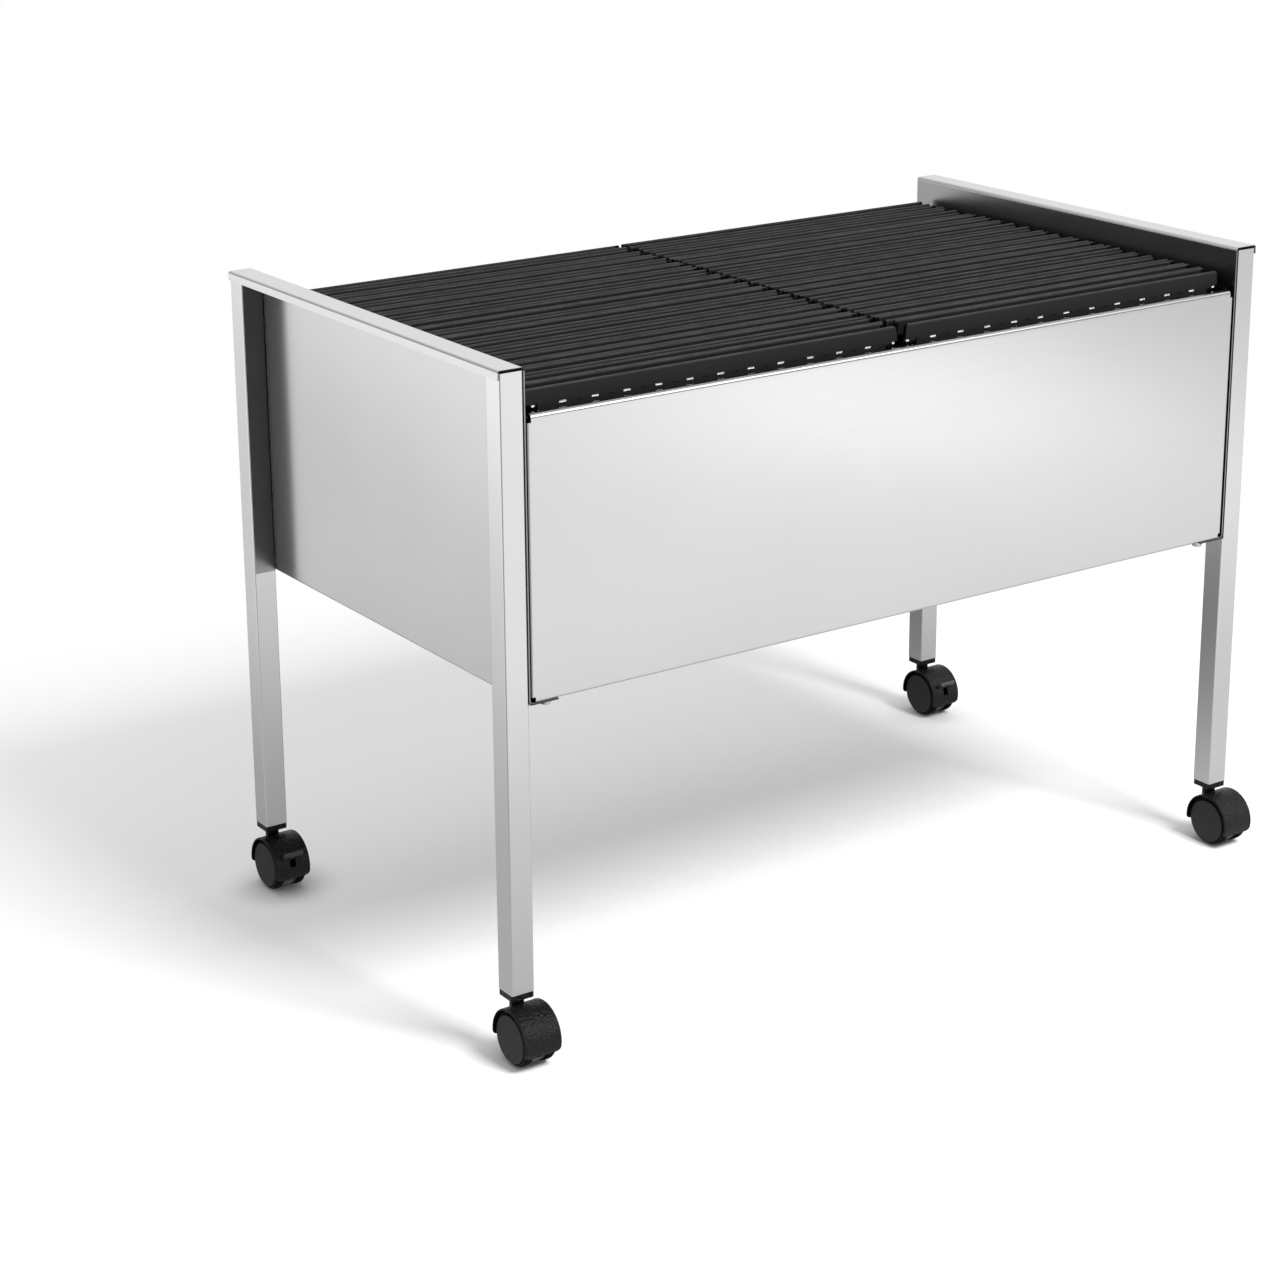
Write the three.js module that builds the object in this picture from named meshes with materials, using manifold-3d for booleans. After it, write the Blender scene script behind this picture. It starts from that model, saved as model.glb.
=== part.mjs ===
// Mobile file cart: a steel sheet frame on four twin-wheel castors, full of hanging files.
// Millimetres, +Z up, X along the cart, -Y towards the front. The origin lies on the floor, in the
// middle of the cart's footprint with its castors turned as they stand.

import * as THREE from "three";
import { mergeVertices } from "three/addons/utils/BufferGeometryUtils.js";
import Module from "manifold-3d";

const wasm = await Module();
wasm.setup();

// Frame
const frameDepth = 422;
const frameHeight = 544;
const tubeSize = 20;
const tubeWall = 1.5;
const tubeCornerRadius = 2;
const tubeInnerRadius = 0.6;
const sheetThickness = 1;
const bendRadius = 1;
const seatGap = 0.3;

// End panels
const capLipDrop = 7.5;
const endFlangeWidth = 25;

// Front and back panels
const panelDrop = 36;
const panelSideGap = 1.2;
const panelTopFlange = 9;
const panelHemDepth = 6;
const panelSideFlange = 8;
const panelBottomFlange = 18;
const cornerNotchWidth = 3.5;
const cornerNotchHeight = 4.5;

// Bolts that hold the front and back panels to the end panels
const boltDiameter = 4;
const boltHeadDiameter = 8.4;
const boltHeadHeight = 3.6;
const boltHeadDome = 1.6;
const boltHeadFlat = 5;
const boltShankLength = 9;
const boltFromEndFlangeEdge = 5.8;
const boltFromPanelFlangeEdge = 7.6;

// Rails that the files hang on
const railSpacing = 330;
const centreRailWidth = 20;
const railWallGap = 16.7;
const railThickness = 1.2;
const railDrop = 1;
const railDepth = 16;
const railEndGap = 0.5;
const centreRailTabDrop = 18;

// Hanging files
const filesPerColumn = 20;
const filesPerPack = 4;
const fileClearance = 2;
const fileGap = 1;
const cardThickness = 0.8;
const cardInset = 6;
const flapOverhang = 6;
const flapRise = 16.5;
const flapLift = 0.7;
const fileDrop = 215;
const fileFloorGap = 5;
const foldCover = 1;
const fileBottomWidth = 4;
const ridgeSlope = 0.8;
const pocketFillDrop = 12;
const packGrooveDepth = 10;
const slotCount = 11;
const slotEndMargin = 13.5;
const slotLength = 7;
const slotHeight = 2;
const slotRise = 3;

// Hanger bars inside the files
const barThickness = 1.6;
const barDrop = 6;
const barArmHeight = 3.7;
const hookTipLength = 2.6;
const hookTipDrop = 4;
const hookSlack = 0.8;
const barEndCover = 1;

// Castors
const wheelRadius = 22.3;
const wheelWidth = 9;
const wheelFaceChamfer = 2.4;
const wheelInnerChamfer = 0.8;
const wheelSideGap = 0.5;
const wheelFaceWall = 3;
const hoodClearance = 0.6;
const hoodWall = 1.4;
const hoodRim = 0.5;
const hoodBackEnd = -12;
const hoodFrontEnd = 200;
const coreMargin = 0.8;
const coreRecess = 1.8;
const coreFloorGap = 5;
const coreStepAngle = 5;
const castorTrail = 14;
const axleDiameter = 5;
const stemDiameter = 8;
const stemSeatRise = 4;
const stemInsertion = 22;
const stemTipChamfer = 2;
const neckWall = 1.4;
const neckLength = 2.9;
const plugFlange = 4.5;
const plugLength = 28;
const plugCornerRadius = 1.2;

// Brake levers on the two back castors
const brakePivotForward = 11;
const brakePivotRise = 4;
const brakePivotRadius = 3;
const brakeRestAngle = 38;
const brakeTravel = 20;
const brakeTongueWidth = 5;
const brakeTongueThickness = 3.6;
const brakeTabWidth = 17;
const brakeTabThickness = 3.4;
const brakeTabReach = 6;
const brakeTabGap = 0.7;

// Facets
const wheelSegments = 28;
const pinSegments = 16;
const bendSteps = 3;
const cornerSteps = 3;
const hoodSteps = 20;
const cutMargin = 1;

// Heights that follow from the sizes above
const hoodInnerRadius = wheelRadius + hoodClearance;
const hoodRadius = hoodInnerRadius + hoodWall;
const neckTop = wheelRadius + hoodRadius + neckLength;
const plugBottom = neckTop + seatGap;
const postBottom = plugBottom + plugFlange + seatGap;
const postTop = frameHeight - sheetThickness - bendRadius;
const panelTop = frameHeight - panelDrop;
const panelBottom = panelTop - railDrop - fileDrop - fileFloorGap;
const endPanelBottom = panelBottom - seatGap - sheetThickness;
const railTop = panelTop - railDrop;
const barTop = railTop + seatGap + barArmHeight;
const barBottom = railTop - barDrop;
const flapBottom = barTop + flapLift;
const flapTop = railTop + flapRise;
const foldBottom = barBottom - foldCover;
const fileBottom = railTop - fileDrop;

// Places along X and Y that follow from the sizes above
const columnX = centreRailWidth / 2 + railSpacing / 2;
const endSheetInnerX = centreRailWidth / 2 + railSpacing + railWallGap;
const endSheetOuterX = endSheetInnerX + sheetThickness;
const postOuterX = endSheetOuterX + seatGap + tubeSize;
const postX = postOuterX - tubeSize / 2;
const postY = frameDepth / 2 - tubeSize / 2;
const panelHalfWidth = endSheetInnerX - panelSideGap;
const railEndY = frameDepth / 2 - panelTopFlange - railEndGap;
const boltX = endSheetInnerX - endFlangeWidth + boltFromEndFlangeEdge;
const boltY = frameDepth / 2 - panelBottomFlange + boltFromPanelFlangeEdge;

// A file's width: the card hangs between the rails and its flaps reach over them
const cardWidth = railSpacing - 2 * cardInset;
const flapWidth = railSpacing + 2 * flapOverhang;
const slotPitch = (cardWidth - 2 * slotEndMargin - slotLength) / (slotCount - 1);

// A file's place along Y, from its front face to its back face
const firstFileY = -frameDepth / 2 + panelTopFlange + fileClearance;
const filePitch = (2 * -firstFileY) / filesPerColumn;
const fileDepth = filePitch - fileGap;
const foldDepth = 2 * cardThickness + 2 * seatGap + barThickness;

// Footprint, with the castors trailing to the front
const frontReach = postY + castorTrail + hoodRadius;
const backReach = Math.max(frameDepth / 2, postY - castorTrail + hoodRadius);
const frameShiftY = (frontReach - backReach) / 2;

const finishes = {
  steel: new THREE.MeshStandardMaterial({ color: 0xcfd2d4, roughness: 0.3, metalness: 0.9 }),
  zinc: new THREE.MeshStandardMaterial({ color: 0xe2e4e6, roughness: 0.35, metalness: 0.9 }),
  card: new THREE.MeshStandardMaterial({ color: 0x26272b, roughness: 0.75, metalness: 0 }),
  plastic: new THREE.MeshStandardMaterial({ color: 0x1b1b1d, roughness: 0.5, metalness: 0 }),
};

// Solids: joining and cutting

function solidOf(geometry) {
  const bare = geometry.clone();
  bare.deleteAttribute("normal");
  bare.deleteAttribute("uv");
  const merged = mergeVertices(bare);
  const vertProperties = Float32Array.from(merged.getAttribute("position").array);
  const triVerts = Uint32Array.from(merged.getIndex().array);
  return new wasm.Manifold(new wasm.Mesh({ numProp: 3, vertProperties, triVerts }));
}

function geometryOf(solid) {
  const mesh = solid.getMesh();
  const geometry = new THREE.BufferGeometry();
  geometry.setAttribute("position", new THREE.BufferAttribute(mesh.vertProperties, 3));
  geometry.setIndex(new THREE.BufferAttribute(mesh.triVerts, 1));
  geometry.computeVertexNormals();
  return geometry;
}

function join(...geometries) {
  return geometryOf(geometries.map(solidOf).reduce((whole, solid) => whole.add(solid)));
}

function cut(geometry, ...cutters) {
  return geometryOf(cutters.map(solidOf).reduce((whole, solid) => whole.subtract(solid), solidOf(geometry)));
}

// Outlines

function point(x, y) {
  return new THREE.Vector2(x, y);
}

function degrees(angle) {
  return THREE.MathUtils.degToRad(angle);
}

function arcPoints(centre, radius, fromDegrees, toDegrees, steps) {
  return Array.from({ length: steps + 1 }, (_, step) => {
    const angle = degrees(fromDegrees + ((toDegrees - fromDegrees) * step) / steps);
    return point(centre.x + radius * Math.cos(angle), centre.y + radius * Math.sin(angle));
  });
}

function circlePoints(centre, radius, segments) {
  return arcPoints(centre, radius, 0, 360, segments).slice(0, -1);
}

function roundedSquarePoints(size, radius) {
  const reach = size / 2 - radius;
  return [45, 135, 225, 315].flatMap((middle) => {
    const xSign = Math.sign(Math.cos(degrees(middle)));
    const ySign = Math.sign(Math.sin(degrees(middle)));
    return arcPoints(point(xSign * reach, ySign * reach), radius, middle - 45, middle + 45, cornerSteps);
  });
}

function shapeOf(points, ...holes) {
  const shape = new THREE.Shape(points);
  shape.holes.push(...holes.map((hole) => new THREE.Path(hole)));
  return shape;
}

// The outline of a sheet that follows a line of corners, with each corner bent round.
function foldedStrip(corners, thickness, insideRadius) {
  const points = corners.map(([x, y]) => point(x, y));
  const middleRadius = insideRadius + thickness / 2;
  const left = [];
  const right = [];
  const addPair = (place, normal) => {
    left.push(place.clone().addScaledVector(normal, thickness / 2));
    right.push(place.clone().addScaledVector(normal, -thickness / 2));
  };
  const normalOf = (direction) => point(-direction.y, direction.x);
  const directions = points.slice(1).map((place, index) => place.clone().sub(points[index]).normalize());
  addPair(points[0], normalOf(directions[0]));
  for (let index = 1; index < points.length - 1; index += 1) {
    const before = directions[index - 1];
    const after = directions[index];
    const turn = Math.atan2(before.cross(after), before.dot(after));
    const normal = normalOf(before);
    const start = points[index].clone().addScaledVector(before, -middleRadius * Math.tan(Math.abs(turn) / 2));
    const side = Math.sign(turn);
    const centre = start.clone().addScaledVector(normal, side * middleRadius);
    for (let step = 0; step <= bendSteps; step += 1) {
      const bent = normal.clone().rotateAround(point(0, 0), (turn * step) / bendSteps);
      addPair(centre.clone().addScaledVector(bent, -side * middleRadius), bent);
    }
  }
  addPair(points.at(-1), normalOf(directions.at(-1)));
  return shapeOf([...left, ...right.reverse()]);
}

// Extrusions along each axis

function extrude(shape, depth) {
  return new THREE.ExtrudeGeometry(shape, { depth, bevelEnabled: false });
}

function alongX(shapeYZ, xLow, xHigh) {
  const toX = new THREE.Matrix4().set(0, 0, 1, xLow, 1, 0, 0, 0, 0, 1, 0, 0, 0, 0, 0, 1);
  return extrude(shapeYZ, xHigh - xLow).applyMatrix4(toX);
}

function alongY(shapeXZ, yLow, yHigh) {
  const toY = new THREE.Matrix4().set(1, 0, 0, 0, 0, 0, -1, yHigh, 0, 1, 0, 0, 0, 0, 0, 1);
  return extrude(shapeXZ, yHigh - yLow).applyMatrix4(toY);
}

function alongZ(shapeXY, zLow, zHigh) {
  return extrude(shapeXY, zHigh - zLow).translate(0, 0, zLow);
}

function block(low, high) {
  const size = high.map((value, axis) => value - low[axis]);
  const middle = high.map((value, axis) => (value + low[axis]) / 2);
  return new THREE.BoxGeometry(...size).translate(...middle);
}

function uprightPin(radius, zLow, zHigh) {
  return alongZ(shapeOf(circlePoints(point(0, 0), radius, pinSegments)), zLow, zHigh);
}

// A round piece about the Z axis, from a profile of radius and height pairs.
function turned(profile, segments) {
  const points = profile.map(([radius, height]) => point(radius, height));
  return new THREE.LatheGeometry(points, segments).rotateX(Math.PI / 2);
}

// Pieces of the frame

function postGeometry() {
  const outside = roundedSquarePoints(tubeSize, tubeCornerRadius);
  const inside = roundedSquarePoints(tubeSize - 2 * tubeWall, tubeInnerRadius);
  return alongZ(shapeOf(outside, inside), postBottom, postTop);
}

function postPlugGeometry() {
  const bore = circlePoints(point(0, 0), stemDiameter / 2 + seatGap, pinSegments);
  const insertSize = tubeSize - 2 * tubeWall - 2 * seatGap;
  const flange = shapeOf(roundedSquarePoints(tubeSize, tubeCornerRadius), bore);
  const insert = shapeOf(roundedSquarePoints(insertSize, plugCornerRadius), bore);
  const flangeTop = plugBottom + plugFlange;
  const insertBottom = flangeTop - cutMargin;
  return join(alongZ(flange, plugBottom, flangeTop), alongZ(insert, insertBottom, flangeTop + plugLength));
}

function boltHole(side, end) {
  const hole = circlePoints(point(side * boltX, end * boltY), boltDiameter / 2 + seatGap, pinSegments);
  return alongZ(shapeOf(hole), endPanelBottom - cutMargin, panelBottom + sheetThickness + cutMargin);
}

function endPanelGeometry(side) {
  const half = sheetThickness / 2;
  const lipX = postOuterX + seatGap + half;
  const wallX = endSheetOuterX - half;
  const strip = foldedStrip(
    [
      [side * lipX, frameHeight - capLipDrop],
      [side * lipX, frameHeight - half],
      [side * wallX, frameHeight - half],
      [side * wallX, endPanelBottom + half],
      [side * (endSheetInnerX - endFlangeWidth), endPanelBottom + half],
    ],
    sheetThickness,
    bendRadius,
  );
  const folded = alongY(strip, -frameDepth / 2, frameDepth / 2);
  return cut(folded, boltHole(side, -1), boltHole(side, 1));
}

function longPanelGeometry(end) {
  const half = sheetThickness / 2;
  const faceY = frameDepth / 2;
  const strip = foldedStrip(
    [
      [end * (faceY - panelTopFlange + half), panelTop - panelHemDepth],
      [end * (faceY - panelTopFlange + half), panelTop - half],
      [end * (faceY - half), panelTop - half],
      [end * (faceY - half), panelBottom + half],
      [end * (faceY - panelBottomFlange), panelBottom + half],
    ],
    sheetThickness,
    bendRadius,
  );
  const yLow = Math.min(end * (faceY - half), end * (faceY - panelSideFlange));
  const yHigh = Math.max(end * (faceY - half), end * (faceY - panelSideFlange));
  const flangeLow = panelBottom + cornerNotchHeight;
  const flangeHigh = panelTop - Math.max(panelHemDepth, cornerNotchHeight) - seatGap;
  const flanges = [-1, 1].map((side) => {
    const xEnds = [side * (panelHalfWidth - sheetThickness), side * panelHalfWidth];
    return block([Math.min(...xEnds), yLow, flangeLow], [Math.max(...xEnds), yHigh, flangeHigh]);
  });
  const notches = [-1, 1].flatMap((side) => {
    const xEnds = [side * (panelHalfWidth - cornerNotchWidth), side * (panelHalfWidth + cutMargin)];
    const xLow = Math.min(...xEnds);
    const xHigh = Math.max(...xEnds);
    return [
      block([xLow, -faceY - cutMargin, panelBottom - cutMargin], [xHigh, faceY + cutMargin, flangeLow]),
      block(
        [xLow, -faceY - cutMargin, panelTop - cornerNotchHeight],
        [xHigh, faceY + cutMargin, panelTop + cutMargin],
      ),
    ];
  });
  const folded = cut(alongX(strip, -panelHalfWidth, panelHalfWidth), ...notches);
  return cut(join(folded, ...flanges), boltHole(-1, end), boltHole(1, end));
}

function boltGeometry() {
  const headTop = endPanelBottom - seatGap;
  const headBottom = headTop - boltHeadHeight;
  return turned(
    [
      [0, headBottom],
      [boltHeadFlat / 2, headBottom],
      [boltHeadDiameter / 2, headBottom + boltHeadDome],
      [boltHeadDiameter / 2, headTop],
      [boltDiameter / 2, headTop],
      [boltDiameter / 2, headTop + boltShankLength],
      [0, headTop + boltShankLength],
    ],
    pinSegments,
  );
}

function sideRailGeometry(side) {
  const wallX = endSheetInnerX - seatGap - railThickness / 2;
  const edgeX = centreRailWidth / 2 + railSpacing;
  const strip = foldedStrip(
    [
      [side * wallX, railTop],
      [side * wallX, railTop - railDepth],
      [side * edgeX, railTop - railDepth],
      [side * edgeX, railTop],
    ],
    railThickness,
    bendRadius,
  );
  return alongY(strip, -railEndY, railEndY);
}

function centreRailGeometry() {
  const edgeX = centreRailWidth / 2;
  const floorZ = railTop - railDepth;
  const trough = foldedStrip(
    [
      [-edgeX, railTop],
      [-edgeX, floorZ],
      [edgeX, floorZ],
      [edgeX, railTop],
    ],
    railThickness,
    bendRadius,
  );
  const tabY = frameDepth / 2 - sheetThickness - seatGap - railThickness / 2;
  const strap = foldedStrip(
    [
      [-tabY, floorZ - centreRailTabDrop],
      [-tabY, floorZ],
      [tabY, floorZ],
      [tabY, floorZ - centreRailTabDrop],
    ],
    railThickness,
    bendRadius,
  );
  const strapHalf = edgeX - bendRadius - railThickness;
  return join(alongY(trough, -railEndY, railEndY), alongX(strap, -strapHalf, strapHalf));
}

// Pieces of the hanging files

// A closed thin card: it wraps each hanger bar at the top and meets in a narrow fold at the bottom.
function frontCardGeometry() {
  const half = cardThickness / 2;
  const front = firstFileY + half;
  const back = firstFileY + fileDepth - half;
  const middle = firstFileY + fileDepth / 2;
  const foldReach = foldDepth - cardThickness;
  const section = foldedStrip(
    [
      [front + foldReach, foldBottom],
      [front + foldReach, flapTop - half],
      [front, flapTop - half],
      [front, foldBottom],
      [middle - fileBottomWidth / 2, fileBottom + half],
      [middle + fileBottomWidth / 2, fileBottom + half],
      [back, foldBottom],
      [back, flapTop - half],
      [back - foldReach, flapTop - half],
      [back - foldReach, foldBottom],
    ],
    cardThickness,
    foldReach / 2 - cardThickness,
  );
  const slots = Array.from({ length: slotCount }, (_, index) => {
    const x = (index - (slotCount - 1) / 2) * slotPitch;
    const low = railTop + slotRise - slotHeight / 2;
    const depth = cardThickness + seatGap / 2;
    return block(
      [x - slotLength / 2, firstFileY - cutMargin, low],
      [x + slotLength / 2, firstFileY + depth, low + slotHeight],
    );
  });
  return cut(alongX(section, -flapWidth / 2, flapWidth / 2), ...flapEndCuts(), ...slots);
}

// Below the flaps the card is narrower, so that it hangs between the rails.
function flapEndCuts() {
  const reach = frameDepth;
  return [-1, 1].map((side) => {
    const xEnds = [(side * cardWidth) / 2, side * (flapWidth / 2 + cutMargin)];
    const low = [Math.min(...xEnds), -reach, fileBottom - cutMargin];
    return block(low, [Math.max(...xEnds), reach, flapBottom]);
  });
}

function hookPoints(side, innerX) {
  const tipX = railSpacing / 2 + railThickness / 2 + hookSlack;
  const armBottom = railTop + seatGap;
  return [
    point(side * innerX, armBottom),
    point(side * tipX, armBottom),
    point(side * tipX, railTop - hookTipDrop),
    point(side * (tipX + hookTipLength), railTop - hookTipDrop),
    point(side * (tipX + hookTipLength), barTop),
  ];
}

function hangerBarGeometry(yLow) {
  const innerX = cardWidth / 2;
  const outline = [
    point(-innerX, barBottom),
    point(innerX, barBottom),
    ...hookPoints(1, innerX),
    ...hookPoints(-1, innerX).reverse(),
  ];
  return alongY(shapeOf(outline), yLow, yLow + barThickness);
}

function barPlaces(fileY) {
  const inset = cardThickness + seatGap;
  return [fileY + inset, fileY + fileDepth - inset - barThickness];
}

// A few files hung shut against each other, with their bars' hooks at both ends.
function filePackGeometry(firstIndex, count) {
  const places = Array.from({ length: count }, (_, index) => firstFileY + (firstIndex + index) * filePitch);
  const valley = flapTop - pocketFillDrop;
  const groove = flapTop - packGrooveDepth;
  const crest = (front) => [
    point(front + ridgeSlope, flapTop),
    point(front + foldDepth - ridgeSlope, flapTop),
  ];
  const tops = places.flatMap((front, index) => {
    const back = front + fileDepth;
    return [
      point(front, index === 0 ? foldBottom : groove),
      ...crest(front),
      point(front + foldDepth, valley),
      point(back - foldDepth, valley),
      ...crest(back - foldDepth),
      point(back, index === count - 1 ? foldBottom : groove),
    ];
  });
  const undersides = places.toReversed().flatMap((front, index) => {
    const middle = front + fileDepth / 2;
    const half = fileBottomWidth / 2;
    const wedge = [point(middle + half, fileBottom), point(middle - half, fileBottom)];
    const foot = [...(index === 0 ? [] : [point(front + fileDepth, foldBottom)]), ...wedge];
    return index === count - 1 ? foot : [...foot, point(front, foldBottom)];
  });
  const body = alongX(shapeOf([...tops, ...undersides]), -flapWidth / 2, flapWidth / 2);
  const innerX = cardWidth / 2 - barEndCover;
  const hooks = places.flatMap(barPlaces).flatMap((yLow) =>
    [-1, 1].map((side) => {
      const outline = [...hookPoints(side, innerX), point(side * innerX, barTop)];
      return alongY(shapeOf(outline), yLow, yLow + barThickness);
    }),
  );
  return join(cut(body, ...flapEndCuts()), ...hooks);
}

// Pieces of a castor, about the stem's axis, with the axle trailing towards the front

const axleY = -castorTrail;
const axleCentre = point(axleY, wheelRadius);
const neckDiameter = stemDiameter + 2 * seatGap + 2 * neckWall;
const coreWidth = neckDiameter + 2 * coreMargin;
const wheelInnerX = coreWidth / 2 + wheelSideGap;
const wheelBoreDepth = wheelWidth - wheelFaceWall;
const hoodHalfWidth = wheelInnerX + wheelWidth + hoodRim;
const stemBottom = wheelRadius + stemSeatRise;

function crossPin(radius, xLow, xHigh) {
  return alongX(shapeOf(circlePoints(axleCentre, radius, pinSegments)), xLow, xHigh);
}

function stemGeometry() {
  const radius = stemDiameter / 2;
  const top = postBottom + stemInsertion;
  return turned(
    [
      [0, stemBottom],
      [radius, stemBottom],
      [radius, top - stemTipChamfer],
      [radius - stemTipChamfer, top],
      [0, top],
    ],
    pinSegments,
  );
}

function axleGeometry() {
  const reach = wheelInnerX + wheelBoreDepth - seatGap;
  return crossPin(axleDiameter / 2, -reach, reach);
}

function wheelGeometry(side) {
  const facetRadius = wheelRadius / Math.cos(Math.PI / wheelSegments);
  const boreRadius = axleDiameter / 2 + seatGap;
  const profile = [
    [0, wheelBoreDepth],
    [boreRadius, wheelBoreDepth],
    [boreRadius, 0],
    [facetRadius - wheelInnerChamfer, 0],
    [facetRadius, wheelInnerChamfer],
    [facetRadius, wheelWidth - wheelFaceChamfer],
    [facetRadius - wheelFaceChamfer, wheelWidth],
    [0, wheelWidth],
  ];
  const flatDown = Math.PI / wheelSegments;
  return turned(profile, wheelSegments)
    .rotateZ(flatDown)
    .rotateY((side * Math.PI) / 2)
    .translate(side * wheelInnerX, axleY, wheelRadius);
}

// A direction and a place seen from the side, measured from the axle towards the front and up.
function sideView(forward, rise) {
  return point(axleY - forward, wheelRadius + rise);
}

function fromBrakePivot(angle, distance, offset) {
  const forward = Math.cos(degrees(angle)) * distance - Math.sin(degrees(angle)) * offset;
  const rise = Math.sin(degrees(angle)) * distance + Math.cos(degrees(angle)) * offset;
  return sideView(brakePivotForward + forward, brakePivotRise + rise);
}

// How far the brake's tongue runs from its pivot until it is a given distance from the axle.
function tongueReach(distance) {
  const angle = degrees(brakeRestAngle);
  const along = brakePivotForward * Math.cos(angle) + brakePivotRise * Math.sin(angle);
  const pivotSquared = brakePivotForward ** 2 + brakePivotRise ** 2;
  return Math.sqrt(along ** 2 - pivotSquared + distance ** 2) - along;
}

function brakePivotDisc(radius, halfWidth) {
  const disc = circlePoints(sideView(brakePivotForward, brakePivotRise), radius, pinSegments);
  return alongX(shapeOf(disc), -halfWidth, halfWidth);
}

function brakeGeometry() {
  const tabStart = tongueReach(hoodRadius + brakeTabGap);
  const tongue = (thickness, from, to) =>
    shapeOf([
      fromBrakePivot(brakeRestAngle, from, -thickness / 2),
      fromBrakePivot(brakeRestAngle, to, -thickness / 2),
      fromBrakePivot(brakeRestAngle, to, thickness / 2),
      fromBrakePivot(brakeRestAngle, from, thickness / 2),
    ]);
  const halfTongue = brakeTongueWidth / 2;
  const halfTab = brakeTabWidth / 2;
  return join(
    brakePivotDisc(brakePivotRadius, halfTongue),
    alongX(tongue(brakeTongueThickness, 0, tabStart + cutMargin), -halfTongue, halfTongue),
    alongX(tongue(brakeTabThickness, tabStart, tabStart + brakeTabReach), -halfTab, halfTab),
  );
}

function brakeSlot() {
  const half = brakeTongueThickness / 2 + seatGap;
  const reach = tongueReach(hoodRadius) + brakeTabReach;
  const lowAngle = brakeRestAngle - brakeTravel;
  const fan = shapeOf([
    fromBrakePivot(brakeRestAngle, 0, half),
    fromBrakePivot(brakeRestAngle, reach, half),
    fromBrakePivot(lowAngle, reach, -half),
    fromBrakePivot(lowAngle, 0, -half),
  ]);
  const halfWidth = brakeTongueWidth / 2 + seatGap;
  return join(alongX(fan, -halfWidth, halfWidth), brakePivotDisc(brakePivotRadius + seatGap, halfWidth));
}

function hoodGeometry(braked) {
  const shell = shapeOf([
    ...arcPoints(axleCentre, hoodRadius, hoodBackEnd, hoodFrontEnd, hoodSteps),
    ...arcPoints(axleCentre, hoodInnerRadius, hoodFrontEnd, hoodBackEnd, hoodSteps),
  ]);
  const coreRadius = wheelRadius - coreRecess;
  const floorAngle = THREE.MathUtils.radToDeg(Math.asin((wheelRadius - coreFloorGap) / coreRadius));
  const seamRadius = hoodInnerRadius + hoodWall / 2;
  const core = shapeOf([
    ...arcPoints(axleCentre, seamRadius, hoodBackEnd, hoodFrontEnd, hoodSteps),
    ...arcPoints(axleCentre, coreRadius, hoodFrontEnd + coreStepAngle, 180 + floorAngle, cornerSteps),
    ...arcPoints(axleCentre, coreRadius, -floorAngle, hoodBackEnd - coreStepAngle, cornerSteps),
  ]);
  const body = join(
    alongX(shell, -hoodHalfWidth, hoodHalfWidth),
    alongX(core, -coreWidth / 2, coreWidth / 2),
    uprightPin(neckDiameter / 2, stemBottom, neckTop),
  );
  const bores = [
    uprightPin(stemDiameter / 2 + seatGap, stemBottom - seatGap, neckTop + cutMargin),
    crossPin(axleDiameter / 2 + seatGap, -coreWidth, coreWidth),
  ];
  return cut(body, ...bores, ...(braked ? [brakeSlot()] : []));
}

// The assembly

const cart = new THREE.Group();
cart.position.y = frameShiftY;

function add(parent, name, geometry, finish) {
  const mesh = new THREE.Mesh(geometry, finish);
  mesh.name = name;
  parent.add(mesh);
}

function addCastor(name, x, y, braked) {
  const castor = new THREE.Group();
  castor.position.set(x, y, 0);
  cart.add(castor);
  add(castor, `${name}_castor_stem`, stemGeometry(), finishes.zinc);
  add(castor, `${name}_castor_hood`, hoodGeometry(braked), finishes.plastic);
  add(castor, `${name}_castor_axle`, axleGeometry(), finishes.zinc);
  add(castor, `${name}_castor_left_wheel`, wheelGeometry(-1), finishes.plastic);
  add(castor, `${name}_castor_right_wheel`, wheelGeometry(1), finishes.plastic);
  if (braked) {
    add(castor, `${name}_castor_brake`, brakeGeometry(), finishes.plastic);
  }
}

function addCorner(name, side, end) {
  const corner = new THREE.Group();
  corner.position.set(side * postX, end * postY, 0);
  cart.add(corner);
  add(corner, `${name}_post`, postGeometry(), finishes.steel);
  add(corner, `${name}_post_plug`, postPlugGeometry(), finishes.plastic);
  add(cart, `${name}_bolt`, boltGeometry().translate(side * boltX, end * boltY, 0), finishes.zinc);
  addCastor(name, side * postX, end * postY, end > 0);
}

function addFileColumn(name, side) {
  const column = new THREE.Group();
  column.position.x = side * columnX;
  cart.add(column);
  const [frontBarY, backBarY] = barPlaces(firstFileY);
  add(column, `${name}_front_file_card`, frontCardGeometry(), finishes.card);
  add(column, `${name}_front_file_front_bar`, hangerBarGeometry(frontBarY), finishes.zinc);
  add(column, `${name}_front_file_back_bar`, hangerBarGeometry(backBarY), finishes.zinc);
  for (let first = 1; first < filesPerColumn; first += filesPerPack) {
    const count = Math.min(filesPerPack, filesPerColumn - first);
    const number = Math.ceil(first / filesPerPack);
    add(column, `${name}_file_pack_${number}`, filePackGeometry(first, count), finishes.card);
  }
}

for (const [endName, end] of [["front", -1], ["back", 1]]) {
  add(cart, `${endName}_panel`, longPanelGeometry(end), finishes.steel);
  for (const [sideName, side] of [["left", -1], ["right", 1]]) {
    addCorner(`${endName}_${sideName}`, side, end);
  }
}
for (const [name, side] of [["left", -1], ["right", 1]]) {
  add(cart, `${name}_end_panel`, endPanelGeometry(side), finishes.steel);
  add(cart, `${name}_rail`, sideRailGeometry(side), finishes.steel);
  addFileColumn(name, side);
}
add(cart, "centre_rail", centreRailGeometry(), finishes.steel);

const root = new THREE.Group();
root.add(cart);

export default root;
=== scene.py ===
"""Dresses a steel file cart: folded sheet, hanging files, castors and the studio around them."""

import math
import random

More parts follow.
